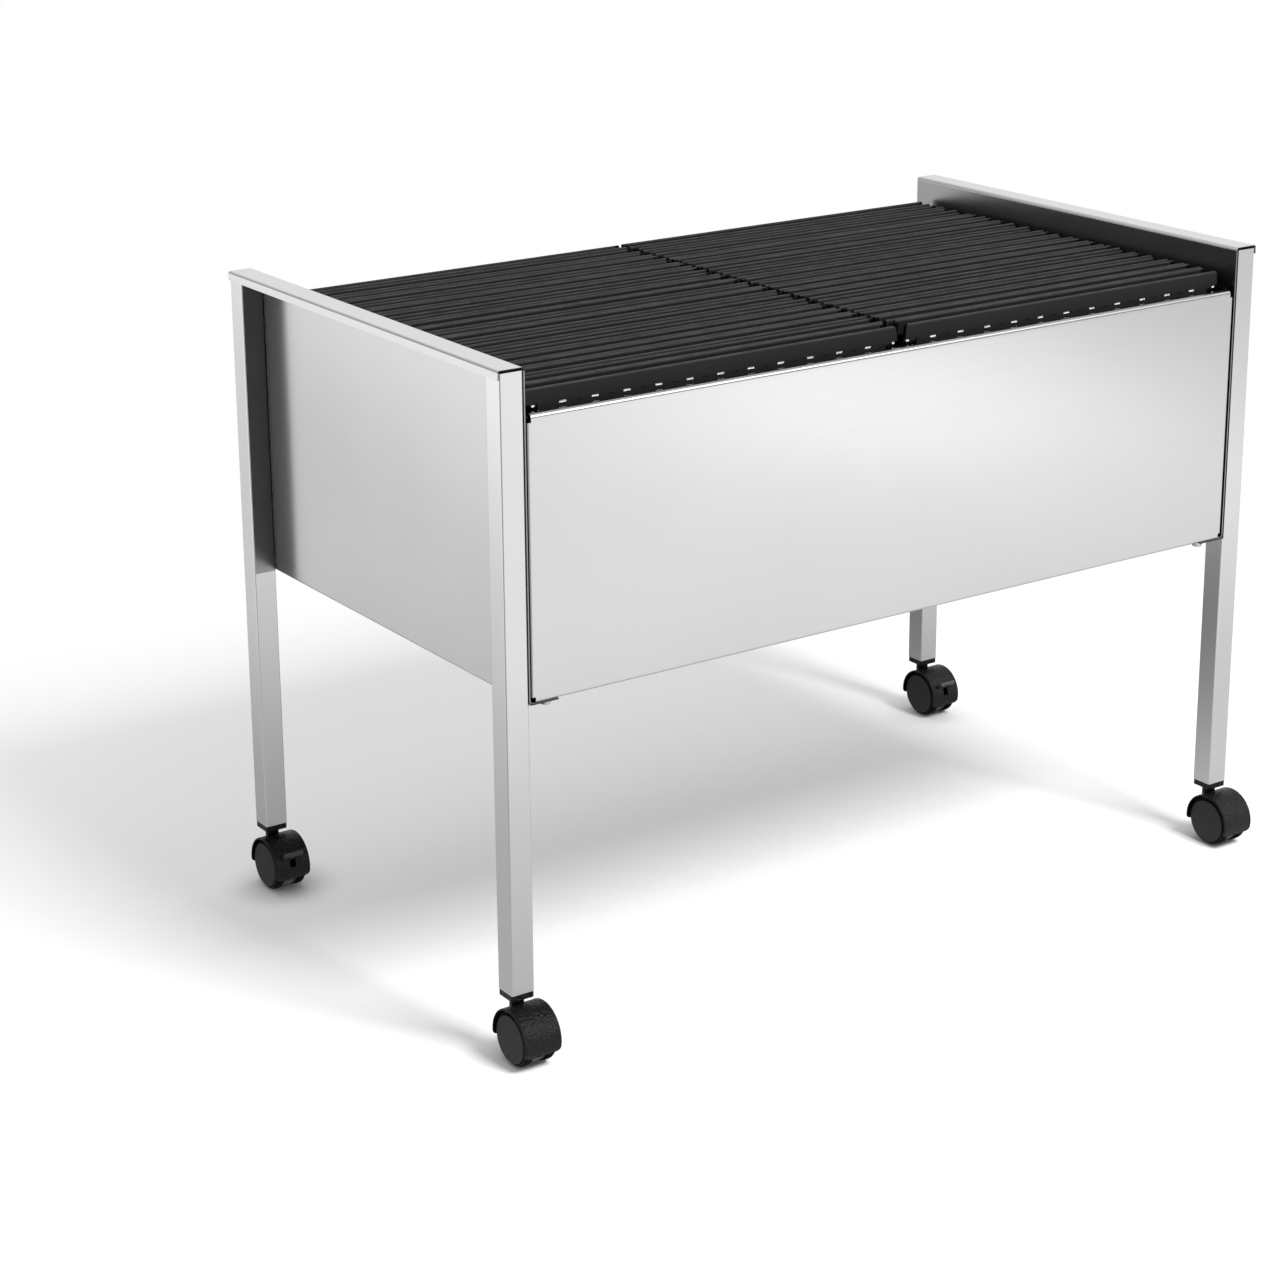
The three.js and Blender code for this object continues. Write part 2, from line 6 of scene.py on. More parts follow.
import bmesh
import bpy
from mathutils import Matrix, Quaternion, Vector


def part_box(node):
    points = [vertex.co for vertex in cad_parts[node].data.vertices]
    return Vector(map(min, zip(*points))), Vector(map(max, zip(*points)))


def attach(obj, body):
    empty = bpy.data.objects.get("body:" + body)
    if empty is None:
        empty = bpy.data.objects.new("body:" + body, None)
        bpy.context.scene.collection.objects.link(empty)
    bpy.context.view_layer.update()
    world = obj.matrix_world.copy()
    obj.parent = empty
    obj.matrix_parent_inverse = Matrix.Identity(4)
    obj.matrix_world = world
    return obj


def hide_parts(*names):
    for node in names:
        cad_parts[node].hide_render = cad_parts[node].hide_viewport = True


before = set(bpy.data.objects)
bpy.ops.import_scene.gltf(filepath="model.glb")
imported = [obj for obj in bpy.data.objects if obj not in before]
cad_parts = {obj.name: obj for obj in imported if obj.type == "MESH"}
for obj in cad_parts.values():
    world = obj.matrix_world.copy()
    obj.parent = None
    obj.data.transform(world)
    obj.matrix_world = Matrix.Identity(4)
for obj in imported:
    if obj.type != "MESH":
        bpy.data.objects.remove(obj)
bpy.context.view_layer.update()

bl_info = {
    "name": "Steel File Cart",
    "version": (1, 0, 0),
    "blender": (4, 5, 0),
    "location": "3D View > Sidebar > File Cart",
    "description": "Builds the finished pieces of a wheeled cart for hanging files",
    "category": "Object",
}

MM = 0.001
SIDES = {"left": -1, "right": 1}
ENDS = {"front": -1, "back": 1}
CORNERS = {f"{end}_{side}": (SIDES[side], ENDS[end]) for end in ENDS for side in SIDES}
FILES_PER_COLUMN = 20
FILES_PER_PACK = 4
SAME_POINT = 1e-7
BEVEL_ANGLE = 40
SMOOTH_ANGLE = 32


# Settings that a user would change


def number(name, description, value, **kind):
    return bpy.props.FloatProperty(name=name, description=description, default=value, **kind)


def length(name, description, millimetres):
    return number(name, description, millimetres * MM, min=0, unit="LENGTH", precision=5)


def degrees(name, description, value):
    return number(name, description, math.radians(value), subtype="ANGLE")


def colour(name, description, value):
    return bpy.props.FloatVectorProperty(
        name=name, description=description, default=value, size=3, min=0, max=1, subtype="COLOR"
    )


class FileCartSizes(bpy.types.PropertyGroup):
    """Sizes of the details that the frame's boxes don't give."""

    sheet: length("Sheet", "Thickness of the folded steel sheet", 1)
    bend: length("Bend", "Inside radius of a fold in the sheet", 1)
    tube_wall: length("Tube wall", "Wall of the square posts", 1.5)
    tube_corner: length("Tube corner", "Outside corner radius of the square posts", 1.2)
    # Painted shade: the dark band at the top of a post stands in for the shade under the cap
    post_rim_shade: length("Post rim", "Height of the bare cut rim at the top of a post", 0.5)
    cap_lip: length("Cap lip", "How far the end panel's lip hangs over the post", 7.5)
    lip_flare: length("Lip flare", "How far the lip's lower edge stands out", 0.4)
    cap_bend: length("Cap bend", "Inside radius of the fold between the end panel and its cap", 1.8)
    top_bend: length("Top bend", "Inside radius of the fold along the long panel's top", 2.5)
    top_flange: length("Top flange", "Depth of the long panel's folded top edge", 6.8)
    top_hem: length("Top hem", "How far the folded top edge turns down again", 6)
    side_flange: length("Side flange", "Depth of the long panel's folded sides", 8)
    notch_width: length("Notch width", "Width of the relief cut at a long panel's corner", 3.5)
    notch_height: length("Notch height", "Height of the relief cut at a long panel's corner", 4.5)
    card: length("Card", "Thickness of the hanging files' card", 0.8)
    flap_slant: length("Flap slant", "How much shorter a front file's inner flap end is along its crest", 1.8)
    flap_corner: length("Flap corner", "Corner radius at the ends of a file's flap", 1.6)
    front_corner: length("Front corner", "Corner radius at the ends of a front file's flap", 3)
    flap_reach: length("Flap reach", "How far the flaps behind the front files reach past them", 2.2)
    outer_reach: length("Outer reach", "How far the left front flap reaches out behind the post", 5.2)
    dark_end: length("Dark end", "Width of the unlit inner end of a flap", 4)
    slot_length: length("Slot length", "Length of a tab slot in the front flap", 7)
    slot_height: length("Slot height", "Height of a tab slot in the front flap", 2)
    slot_rise: length("Slot rise", "Height of the tab slots above the rails", 3.5)
    hood_edge: length("Hood edge", "Rounding along the sides of a castor's hood", 1.2)
    hood_corner: length("Hood corner", "Rounding of the hood's lower corners", 4)
    tread_edge: length("Tread edge", "Rounding from the wheel's tread to its face", 2.4)
    unevenness: length("Unevenness", "How far the files' flaps wander from an even row", 1.5)


class FileCartFinishes(bpy.types.PropertyGroup):
    """Base colours of the cart's finishes."""

    steel: colour("Steel", "Satin steel of the panels", (0.80, 0.803, 0.806))
    # Painted shade: a darker copy of the steel for the end panels' inner side, the posts' faces beside them
    # and the walls' cut edges
    inside: colour("Inside", "Unpolished inner side of the end panels", (0.42, 0.422, 0.425))
    post: colour("Post steel", "Brushed steel of the posts", (0.86, 0.863, 0.866))
    # Also painted on the posts as shade in the joint beside the panel and under the cap
    cut: colour("Cut edge", "Bare cut edges of the steel sheet", (0.05, 0.05, 0.052))
    zinc: colour("Zinc", "Plated castor pins", (0.9, 0.903, 0.906))
    bolt: colour("Bolt", "Plated bolts", (0.72, 0.722, 0.725))
    # Also the pale painted glint on the tips of the front hooks
    bar: colour("Bar", "Pale lacquer of the hanger bars", (0.86, 0.86, 0.855))
    hook: colour("Hook", "Dark plated arms of the hanger bars", (0.085, 0.086, 0.088))
    card: colour("Card", "Black card of the hanging files", (0.0082, 0.0084, 0.0089))
    # Painted shade: near black for the inner ends of the files' folds and the crease marks between the tab
    # slots
    card_inside: colour("Card inside", "Inner side of the files' folded ends", (0.0016, 0.0016, 0.0017))
    plastic: colour("Plastic", "Moulded hoods and plugs", (0.0045, 0.0046, 0.0048))
    tyre: colour("Tyre", "Treads of the wheels", (0.003, 0.003, 0.0031))
    wheel: colour("Wheel", "Moulded wheel discs", (0.02, 0.0202, 0.0208))
    lever: colour("Lever", "Brake levers", (0.072, 0.0725, 0.074))


class FileCartStudio(bpy.types.PropertyGroup):
    """Camera, lamps and floor."""

    lens: number("Lens", "Focal length on a 36 mm sensor", 81.38, min=1, unit="CAMERA")
    shift: number("Shift", "Vertical shift of the picture", -0.1, subtype="FACTOR")
    place: bpy.props.FloatVectorProperty(
        name="Place",
        description="Where the camera stands",
        default=(-1.422, -1.902, 1.040),
        subtype="XYZ",
        unit="LENGTH",
    )
    azimuth: degrees("Azimuth", "Turn of the camera round the cart", -34.33)
    elevation: degrees("Elevation", "Angle from which the camera looks down", 16.76)
    roll: degrees("Roll", "Tilt of the camera about its view", -0.381)
    floor: colour("Floor", "Pale studio floor", (0.9, 0.9, 0.9))
    key: number("Key light", "Soft lamp high at the front right", 205, min=0, subtype="POWER")
    overhead: number("Overhead light", "Large soft lamp above", 28, min=0, subtype="POWER")
    ambient: number("Ambient", "Level of the light from all round", 0.36, min=0, subtype="FACTOR")


def sizes():
    return bpy.context.scene.file_cart_sizes


def finishes():
    return bpy.context.scene.file_cart_finishes


def studio():
    return bpy.context.scene.file_cart_studio


# Shader node groups that several finishes share


class NodeBuilder:
    """Adds nodes to a tree and links them by name."""

    def __init__(self, tree):
        self.tree = tree

    def node(self, kind, inputs=None, **settings):
        made = self.tree.nodes.new(kind)
        for name, value in settings.items():
            setattr(made, name, value)
        self.fill(made, inputs or {})
        return made

    def fill(self, node, inputs):
        for name, value in inputs.items():
            self.feed(value, node.inputs[name])

    def feed(self, value, socket):
        if isinstance(value, bpy.types.NodeSocket):
            self.tree.links.new(value, socket)
        else:
            socket.default_value = value

    def math(self, operation, first, second=0.0, third=0.0, clamp=False):
        inputs = {0: first, 1: second, 2: third}
        return self.node("ShaderNodeMath", inputs, operation=operation, use_clamp=clamp).outputs[0]

    def vector(self, operation, first, second=None):
        inputs = {0: first} if second is None else {0: first, 1: second}
        return self.node("ShaderNodeVectorMath", inputs, operation=operation)

    def noise(self, vector, scale, detail=3.0, roughness=0.5):
        inputs = {"Vector": vector, "Scale": scale, "Detail": detail, "Roughness": roughness}
        return self.node("ShaderNodeTexNoise", inputs).outputs["Fac"]

    def swayed(self, level, noise, share):
        """A level that goes up and down with a noise about its middle."""
        return self.math("MULTIPLY_ADD", self.math("SUBTRACT", noise, 0.5), share, level)

    def object_place(self):
        return self.node("ShaderNodeTexCoord").outputs["Object"]

    def split_axes(self, vector):
        return self.node("ShaderNodeSeparateXYZ", {0: vector}).outputs

    def span(self, value, low, high, new_low, new_high, smooth=False):
        made = self.node(
            "ShaderNodeMapRange",
            {"Value": value, "From Min": low, "From Max": high, "To Min": new_low, "To Max": new_high},
            interpolation_type="SMOOTHSTEP" if smooth else "LINEAR",
        )
        return made.outputs["Result"]

    def mix(self, factor, first, second):
        made = self.node("ShaderNodeMix", data_type="RGBA")
        self.feed(factor, made.inputs["Factor"])
        for name, value in (("A", first), ("B", second)):
            socket = next(s for s in made.inputs if s.name == name and s.type == "RGBA")
            self.feed(value, socket)
        return next(s for s in made.outputs if s.type == "RGBA")

    def bump(self, height, distance, strength):
        made = self.node("ShaderNodeBump", {"Height": height, "Distance": distance, "Strength": strength})
        return made.outputs["Normal"]


def new_group(name, inputs):
    """A node group with its input sockets. Returns it with its builder and the sockets inside it."""
    group = bpy.data.node_groups.new(name, "ShaderNodeTree")
    kinds = {1: "NodeSocketFloat", 3: "NodeSocketVector", 4: "NodeSocketColor"}
    for socket, default in inputs.items():
        kind = kinds[len(default) if isinstance(default, tuple) else 1]
        group.interface.new_socket(socket, in_out="INPUT", socket_type=kind).default_value = default
    build = NodeBuilder(group)
    return group, build, build.node("NodeGroupInput").outputs


def close_group(group, build, outputs):
    """Gives a node group its output sockets and feeds them."""
    kinds = {"VALUE": "NodeSocketFloat", "RGBA": "NodeSocketColor"}
    for socket, value in outputs.items():
        group.interface.new_socket(socket, in_out="OUTPUT", socket_type=kinds[value.type])
    build.node("NodeGroupOutput", outputs)
    return group


def brushed_grain():
    """Fine streaks along one direction, with broad soft patches where a sheet was handled."""
    group, build, given = new_group(
        "Brushed grain",
        {
            "Stretch": (1500.0, 1500.0, 12.0),
            "Patch scale": 7.0,
            "Roughness": 0.2,
            "Streak share": 0.05,
            "Patch share": 0.05,
        },
    )
    place = build.object_place()
    stretched = build.vector("MULTIPLY", place, given["Stretch"]).outputs[0]
    streaks = build.noise(stretched, 1.0, 2.0)
    patches = build.noise(place, given["Patch scale"], 4.0)
    rough = build.swayed(given["Roughness"], streaks, given["Streak share"])
    rough = build.swayed(rough, patches, given["Patch share"])
    return close_group(group, build, {"Streaks": streaks, "Patches": patches, "Roughness": rough})


def moulded_grain():
    """Fine pebbled surface, with a soft drift of tone over the piece."""
    group, build, given = new_group(
        "Moulded grain",
        {
            "Grain scale": 1800.0,
            "Drift scale": 45.0,
            "Colour": (0.02, 0.02, 0.02, 1.0),
            "Worn colour": (0.03, 0.03, 0.03, 1.0),
            "Roughness": 0.45,
            "Roughness share": 0.14,
        },
    )
    place = build.object_place()
    grain = build.noise(place, given["Grain scale"], 2.0)
    drift = build.noise(place, given["Drift scale"], 4.0, 0.6)
    worn = build.span(build.math("MULTIPLY", drift, grain), 0.12, 0.42, 0.0, 1.0)
    tone = build.mix(worn, given["Colour"], given["Worn colour"])
    rough = build.swayed(given["Roughness"], drift, given["Roughness share"])
    return close_group(group, build, {"Colour": tone, "Height": grain, "Roughness": rough})


def dust_and_top_highlight():
    """A thin film on faces that look up, broken up by noise: dust where it is faint, and a painted highlight
    on the tops of the files' card and the brake levers, where it is strong.
    """
    group, build, given = new_group(
        "Settled dust",
        {
            "Amount": 0.1,
            "Scale": 60.0,
            "Colour": (0.03, 0.03, 0.03, 1.0),
            "Dust colour": (0.3, 0.29, 0.28, 1.0),
        },
    )
    up = build.split_axes(build.node("ShaderNodeNewGeometry").outputs["Normal"])["Z"]
    facing = build.span(up, 0.35, 1.0, 0.0, 1.0)
    broken = build.noise(build.object_place(), given["Scale"], 5.0, 0.65)
    patchy = build.span(broken, 0.35, 0.75, 0.25, 1.0)
    mask = build.math("MULTIPLY", build.math("MULTIPLY", facing, patchy), given["Amount"])
    tone = build.mix(mask, given["Colour"], given["Dust colour"])
    return close_group(group, build, {"Colour": tone, "Mask": mask})


GROUP_MAKERS = {"Brushed grain": brushed_grain, "Moulded grain": moulded_grain, "Settled dust": dust_and_top_highlight}


def use_group(build, name, **inputs):
    """Places a shared node group, which is built once, with values of its own."""
    group = bpy.data.node_groups.get(name) or GROUP_MAKERS[name]()
    placed = build.node("ShaderNodeGroup", node_tree=group)
    build.fill(placed, {socket.replace("_", " ").capitalize(): value for socket, value in inputs.items()})
    return placed.outputs


# Finishes

# How often the streaks or specks repeat in a metre along x, y and z
LEVEL_STREAKS = (9.0, 9.0, 1400.0)
UPRIGHT_STREAKS = (700.0, 700.0, 3.0)
BAR_STREAKS = (40.0, 900.0, 900.0)
COARSE_SPECKS = (300.0, 300.0, 300.0)
FINE_SPECKS = (700.0, 700.0, 700.0)
CARD_FIBRES = (350.0, 900.0, 900.0)

# How far below a file's crest its card is painted paler as a highlight, from none to most
CREST_HIGHLIGHT_NONE = 2.2 * MM
CREST_HIGHLIGHT_MOST = 0.3 * MM

# Colour, streaks, roughness, its shares of streaks and patches, depth of the streaks in mm, bareness
METAL_FINISHES = {
    "Satin steel panel": ("steel", LEVEL_STREAKS, 0.2, 0.05, 0.05, 0.004, 1.0),
    "Satin steel end": ("steel", LEVEL_STREAKS, 0.2, 0.05, 0.05, 0.004, 0.84),
    "Unpolished steel": ("inside", LEVEL_STREAKS, 0.3, 0.08, 0.06, 0.004, 1.0),
    "Brushed steel post": ("post", UPRIGHT_STREAKS, 0.2, 0.07, 0.05, 0.01, 1.0),
    "Cut steel edge": ("cut", COARSE_SPECKS, 0.42, 0.1, 0.05, 0.01, 1.0),
    "Plated steel": ("zinc", BAR_STREAKS, 0.38, 0.08, 0.06, 0.008, 1.0),
    "Plated bolt": ("bolt", FINE_SPECKS, 0.28, 0.08, 0.06, 0.008, 1.0),
    "Dark plated hook": ("hook", BAR_STREAKS, 0.32, 0.1, 0.06, 0.008, 1.0),
}

# Colour, roughness, scale of the grain, dust (on the lever also a painted highlight on its top), gloss, depth
# of the grain in mm
MOULDED_FINISHES = {
    "Pale lacquered bar": ("bar", 0.4, 900.0, 0.0, 0.5, 0.6),
    "Matt black card": ("card_inside", 0.8, 1200.0, 0.0, 0.1, 0.6),
    "Moulded black plastic": ("plastic", 0.3, 480.0, 0.012, 0.34, 1.6),
    "Moulded black tyre": ("tyre", 0.75, 1600.0, 0.0, 0.08, 0.6),
    "Moulded black wheel": ("wheel", 0.5, 2200.0, 0.012, 0.4, 0.6),
    # The lever's heavier dust also paints a highlight on its top faces
    "Moulded black lever": ("lever", 0.45, 1600.0, 0.06, 0.5, 0.6),
}

CARD_FINISHES = {"Black card": ("card",)}


def rgba(value, share=1.0):
    return (value[0] * share, value[1] * share, value[2] * share, 1.0)


def new_finish(name):
    """A material with only its shader and output. Returns it with its builder and shader."""
    made = bpy.data.materials.new(name)
    made.use_nodes = True
    made.node_tree.nodes.clear()
    build = NodeBuilder(made.node_tree)
    shader = build.node("ShaderNodeBsdfPrincipled")
    build.node("ShaderNodeOutputMaterial", {"Surface": shader.outputs["BSDF"]})
    return made, build, shader


def metal_finish(name, base, stretch, roughness, streak_share, patch_share, streak_depth, bare):
    """Brushed metal, a little uneven in gloss, with the streaks pressed into its surface.

    Less bare metal has a thin milky film over it."""
    made, build, shader = new_finish(name)
    grain = use_group(
        build,
        "Brushed grain",
        stretch=stretch,
        roughness=roughness,
        streak_share=streak_share,
        patch_share=patch_share,
    )
    tone = build.span(grain["Patches"], 0.3, 0.7, 0.0, 1.0)
    inputs = {
        "Base Color": build.mix(tone, rgba(base, 0.965), rgba(base)),
        "Metallic": bare,
        "Roughness": grain["Roughness"],
        "Normal": build.bump(grain["Streaks"], streak_depth * MM, 0.35),
    }
    build.fill(shader, inputs)
    return made


def moulded_finish(name, base, roughness, grain_scale, dust, gloss, grain_depth):
    """Moulded plastic or lacquer with a pebbled skin."""
    made, build, shader = new_finish(name)
    grain = use_group(
        build,
        "Moulded grain",
        grain_scale=grain_scale,
        colour=rgba(base, 0.82),
        worn_colour=rgba(base, 1.3),
        roughness=roughness,
    )
    inputs = {
        "Base Color": use_group(build, "Settled dust", amount=dust, colour=grain["Colour"])["Colour"],
        "Roughness": grain["Roughness"],
        "Specular IOR Level": gloss,
        "Normal": build.bump(grain["Height"], grain_depth * MM, 0.8),
    }
    build.fill(shader, inputs)
    return made


def card_finish(name, base):
    """Black card: fibres in its face, painted paler along its crest as a highlight, and paler on faces that
    look up from dust and a painted highlight.
    """
    made, build, shader = new_finish(name)
    place = build.object_place()
    fibres = build.noise(build.vector("MULTIPLY", place, CARD_FIBRES).outputs[0], 1.0, 3.0, 0.6)
    grain = use_group(
        build,
        "Moulded grain",
        grain_scale=1200.0,
        drift_scale=18.0,
        colour=rgba(base, 0.85),
        worn_colour=rgba(base, 1.2),
        roughness=0.68,
    )
    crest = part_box("left_front_file_card")[1].z
    height = build.split_axes(place)["Z"]
    # Painted highlight: the card turns paler towards its crest
    crest_highlight = build.span(height, crest - CREST_HIGHLIGHT_NONE, crest - CREST_HIGHLIGHT_MOST, 0.0, 0.7, smooth=True)
    crest_highlight = build.math("MULTIPLY", crest_highlight, build.span(fibres, 0.3, 0.7, 0.5, 1.0))
    tone = build.mix(crest_highlight, grain["Colour"], rgba(base, 2.2))
    # Its dust also paints a highlight on the faces that look up
    inputs = {
        "Base Color": use_group(build, "Settled dust", amount=0.12, colour=tone)["Colour"],
        "Roughness": grain["Roughness"],
        "Specular IOR Level": 0.32,
        "Normal": build.bump(fibres, 0.08 * MM, 0.5),
    }
    build.fill(shader, inputs)
    return made


FINISH_TABLES = (
    (metal_finish, METAL_FINISHES),
    (moulded_finish, MOULDED_FINISHES),
    (card_finish, CARD_FINISHES),
)


def finish(name):
    """A finish by its name, made when it is first asked for."""
    if name in bpy.data.materials:
        return bpy.data.materials[name]
    make, rows = next(table for table in FINISH_TABLES if name in table[1])
    base, *values = rows[name]
    return make(name, getattr(finishes(), base), *values)


# Making a mesh into a piece


def new_object(bm, name):
    """A scene object from a bmesh, with its faces turned outwards."""
    bmesh.ops.remove_doubles(bm, verts=bm.verts, dist=SAME_POINT)
    bmesh.ops.recalc_face_normals(bm, faces=bm.faces)
    mesh = bpy.data.meshes.new(name)
    bm.to_mesh(mesh)
    bm.free()
    obj = bpy.data.objects.new(name, mesh)
    bpy.context.scene.collection.objects.link(obj)
    return obj


def add_modifier(obj, kind, **settings):
    made = obj.modifiers.new(kind.title(), kind)
    for name, value in settings.items():
        setattr(made, name, value)
    return made


def settle(obj):
    """Applies an object's modifiers to its mesh."""
    graph = bpy.context.evaluated_depsgraph_get()
    mesh = bpy.data.meshes.new_from_object(obj.evaluated_get(graph))
    obj.modifiers.clear()
    old = obj.data
    obj.data = mesh
    mesh.name = obj.name
    bpy.data.meshes.remove(old)


def shade(obj, angle=SMOOTH_ANGLE):
    """Smooth faces with an edge wherever two of them meet at more than the angle."""
    obj.data.polygons.foreach_set("use_smooth", [True] * len(obj.data.polygons))
    obj.data.set_sharp_from_angle(angle=math.radians(angle))


def add_bevel(obj, width, angle=BEVEL_ANGLE):
    limit = math.radians(angle)
    add_modifier(obj, "BEVEL", width=width, segments=2, limit_method="ANGLE", angle_limit=limit)


def soften(obj, width, angle=BEVEL_ANGLE):
    """Rounds an object's sharp edges and keeps its flat faces flat to the light."""
    if width:
        add_bevel(obj, width, angle)
        settle(obj)
    shade(obj)
    add_modifier(obj, "WEIGHTED_NORMAL", keep_sharp=True, mode="FACE_AREA_WITH_ANGLE")


def combine(obj, other, operation):
    """Joins or cuts obj with another object, which is used up."""
    add_modifier(obj, "BOOLEAN", object=other, operation=operation, solver="EXACT")
    settle(obj)
    mesh = other.data
    bpy.data.objects.remove(other)
    bpy.data.meshes.remove(mesh)


def paint(obj, *finish_names):
    """Gives a piece its finishes, in the order of its faces' material numbers."""
    for name in finish_names:
        obj.data.materials.append(finish(name))
    return obj


def paint_faces(obj, number, chosen):
    """Gives the faces whose middle is chosen another of the piece's finishes."""
    for face in obj.data.polygons:
        if chosen(face.center):
            face.material_index = number


def score(obj, height):
    """Cuts an edge round a piece, so that its faces above and below can be finished apart."""
    bm = bmesh.new()
    bm.from_mesh(obj.data)
    whole = [*bm.verts, *bm.edges, *bm.faces]
    bmesh.ops.bisect_plane(bm, geom=whole, plane_co=(0, 0, height), plane_no=(0, 0, 1))
    bm.to_mesh(obj.data)
    bm.free()


def dress(obj, body, slot, *nodes):
    """Gives a piece its body and hides the CAD nodes that it stands for. Its slot is not used."""
    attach(obj, body)
    if nodes:
        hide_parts(*nodes)
    return obj


def dress_node(node, finish_name, edge=0.0):
    """Gives a carried-over CAD node its finish and rounds its edges with modifiers alone."""
    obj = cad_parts[node]
    for slot in obj.material_slots:
        slot.material = finish(finish_name)
    add_modifier(obj, "WELD", merge_threshold=1e-6)
    if edge:
        add_bevel(obj, edge)


# Outlines and meshes


def turned_by(vector, angle):
    cos, sin = math.cos(angle), math.sin(angle)
    return Vector((vector.x * cos - vector.y * sin, vector.x * sin + vector.y * cos))


def bent_path(corners, radii, steps=6):
    """A line of corners in a plane, each bent round to its radius; one radius may stand for all."""
    points = [Vector(corner) for corner in corners]
    if not isinstance(radii, (list, tuple)):
        radii = [radii] * (len(points) - 2)
    path = [points[0]]
    for before, corner, after, radius in zip(points, points[1:], points[2:], radii):
        come = (corner - before).normalized()
        leave = (after - corner).normalized()
        turn = math.atan2(come.x * leave.y - come.y * leave.x, come.dot(leave))
        start = corner - come * radius * math.tan(abs(turn) / 2)
        centre = start + Vector((-come.y, come.x)) * math.copysign(radius, turn)
        for step in range(steps + 1):
            path.append(centre + turned_by(start - centre, turn * step / steps))
    path.append(points[-1])
    return path


def rounded_outline(corners, radius, steps=4):
    """A closed outline with every corner rounded."""
    points = [Vector(corner) for corner in corners]
    middle = (points[-1] + points[0]) / 2
    closed = [middle, *points, middle]
    return bent_path(closed, radius, steps)[1:-1]


def arc(centre, radius, start, end, steps):
    """Points on an arc, with angles in degrees."""
    angles = [math.radians(start + (end - start) * step / steps) for step in range(steps + 1)]
    return [Vector((centre[0] + radius * math.cos(a), centre[1] + radius * math.sin(a))) for a in angles]


def circle(centre, radius, steps):
    return arc(centre, radius, 0, 360, steps)[:-1]


def square_outline(size, radius):
    """A square about the origin with rounded corners."""
    half = size / 2
    return rounded_outline([(half, -half), (half, half), (-half, half), (-half, -half)], radius, 8)


def in_yz(x, point):
    return Vector((x, point[0], point[1]))


def in_xz(y, point):
    return Vector((point[0], y, point[1]))


def in_xy(z, point):
    return Vector((point[0], point[1], z))


def bridge(bm, first, second):
    """Joins two closed loops, with as many points each, by a band of faces."""
    count = len(first)
    for index in range(count):
        following = (index + 1) % count
        bm.faces.new((first[index], first[following], second[following], second[index]))


def prism(bm, outline, low, high, place, hole=None):
    """A solid with a closed outline between two levels, and an optional hole through it."""
    loops = [[bm.verts.new(place(level, point)) for point in outline] for level in (low, high)]
    walls = [loops]
    if hole:
        inner = [[bm.verts.new(place(level, point)) for point in hole] for level in (low, high)]
        walls.append(inner)
        for outside, inside in zip(loops, inner):
            bridge(bm, outside, inside)
    else:
        for loop in loops:
            bm.faces.new(loop)
    for bottom, top in walls:
        bridge(bm, bottom, top)


def prism_object(name, outline, low, high, place, hole=None):
    bm = bmesh.new()
    prism(bm, outline, low, high, place, hole)
    return new_object(bm, name)


def turned_object(name, profile, segments, place):
    """A round solid from (along, radius) pairs; place takes along, and two coordinates across."""
    bm = bmesh.new()
    rings = []
    for along, radius in profile:
        if radius < 1e-9:
            rings.append([bm.verts.new(place(along, 0.0, 0.0))])
            continue
        angles = [2 * math.pi * (step + 0.5) / segments for step in range(segments)]
        rings.append([bm.verts.new(place(along, radius * math.cos(a), radius * math.sin(a))) for a in angles])
    for first, second in zip(rings, rings[1:]):
        for step in range(segments):
            following = (step + 1) % segments
            corners = {first[step % len(first)]: 0, first[following % len(first)]: 0}
            corners.update({second[following % len(second)]: 0, second[step % len(second)]: 0})
            if len(corners) > 2:
                bm.faces.new(list(corners))
    return new_object(bm, name)


def upright_at(middle):
    """How a turned object stands on end at a place."""

    def place(along, x, y):
        return Vector((middle.x + x, middle.y + y, along))

    return place


def sheet_object(name, rows, columns, place, thickness, finish_names, keep=None):
    """A bent sheet of even thickness about its middle face, which is a grid of rows and columns.

    Its cut edges take the last of its finishes."""
    bm = bmesh.new()
    grid = {}

    def vertex(row, column):
        if (row, column) not in grid:
            grid[row, column] = bm.verts.new(place(rows[row], columns[column]))
        return grid[row, column]

    for row in range(len(rows) - 1):
        for column in range(len(columns) - 1):
            if keep is None or keep(row, column):
                corners = ((row, column), (row, column + 1), (row + 1, column + 1), (row + 1, column))
                bm.faces.new([vertex(*corner) for corner in corners])
    obj = paint(new_object(bm, name), *finish_names)
    add_modifier(
        obj,
        "SOLIDIFY",
        thickness=thickness,
        offset=0.0,
        use_even_offset=True,
        use_rim=True,
        material_offset_rim=len(finish_names) - 1,
    )
    settle(obj)
    return obj


def split(low, high, parts):
    """Values from low to high in even parts."""
    return [low + (high - low) * step / parts for step in range(parts + 1)]


# Steel frame

SHEET_FINISHES = ("Satin steel panel", "Cut steel edge")
END_FINISHES = ("Satin steel end", "Cut steel edge")
POST_FINISHES = ("Brushed steel post", "Cut steel edge", "Unpolished steel")
PAINTED_SHADE, SHADED_STEEL = 1, 2

# Rounding of the frame's edges, and the angle from which a sheet's edges are rounded
TUBE_EDGE = 0.18 * MM
PLUG_EDGE = 0.35 * MM
RAIL_EDGE = 0.15 * MM
SHEET_EDGE = 0.12 * MM
SHEET_ANGLE = 60

# The smallest radius inside a tube, and how near a point lies to count as on a face
LEAST_RADIUS = 0.2 * MM
ON_FACE = 0.05 * MM

# How far the painted shade on the end panel's inner side stays from its bottom and its top
INSIDE_FOOT = 3 * MM
INSIDE_HEAD = 4 * MM

# Long panel: the gap from its hem to its folded sides, and into how many steps a fold and the face are split
HEM_GAP = 0.3 * MM
FOLD_STEPS = 10
FACE_ROWS = 6

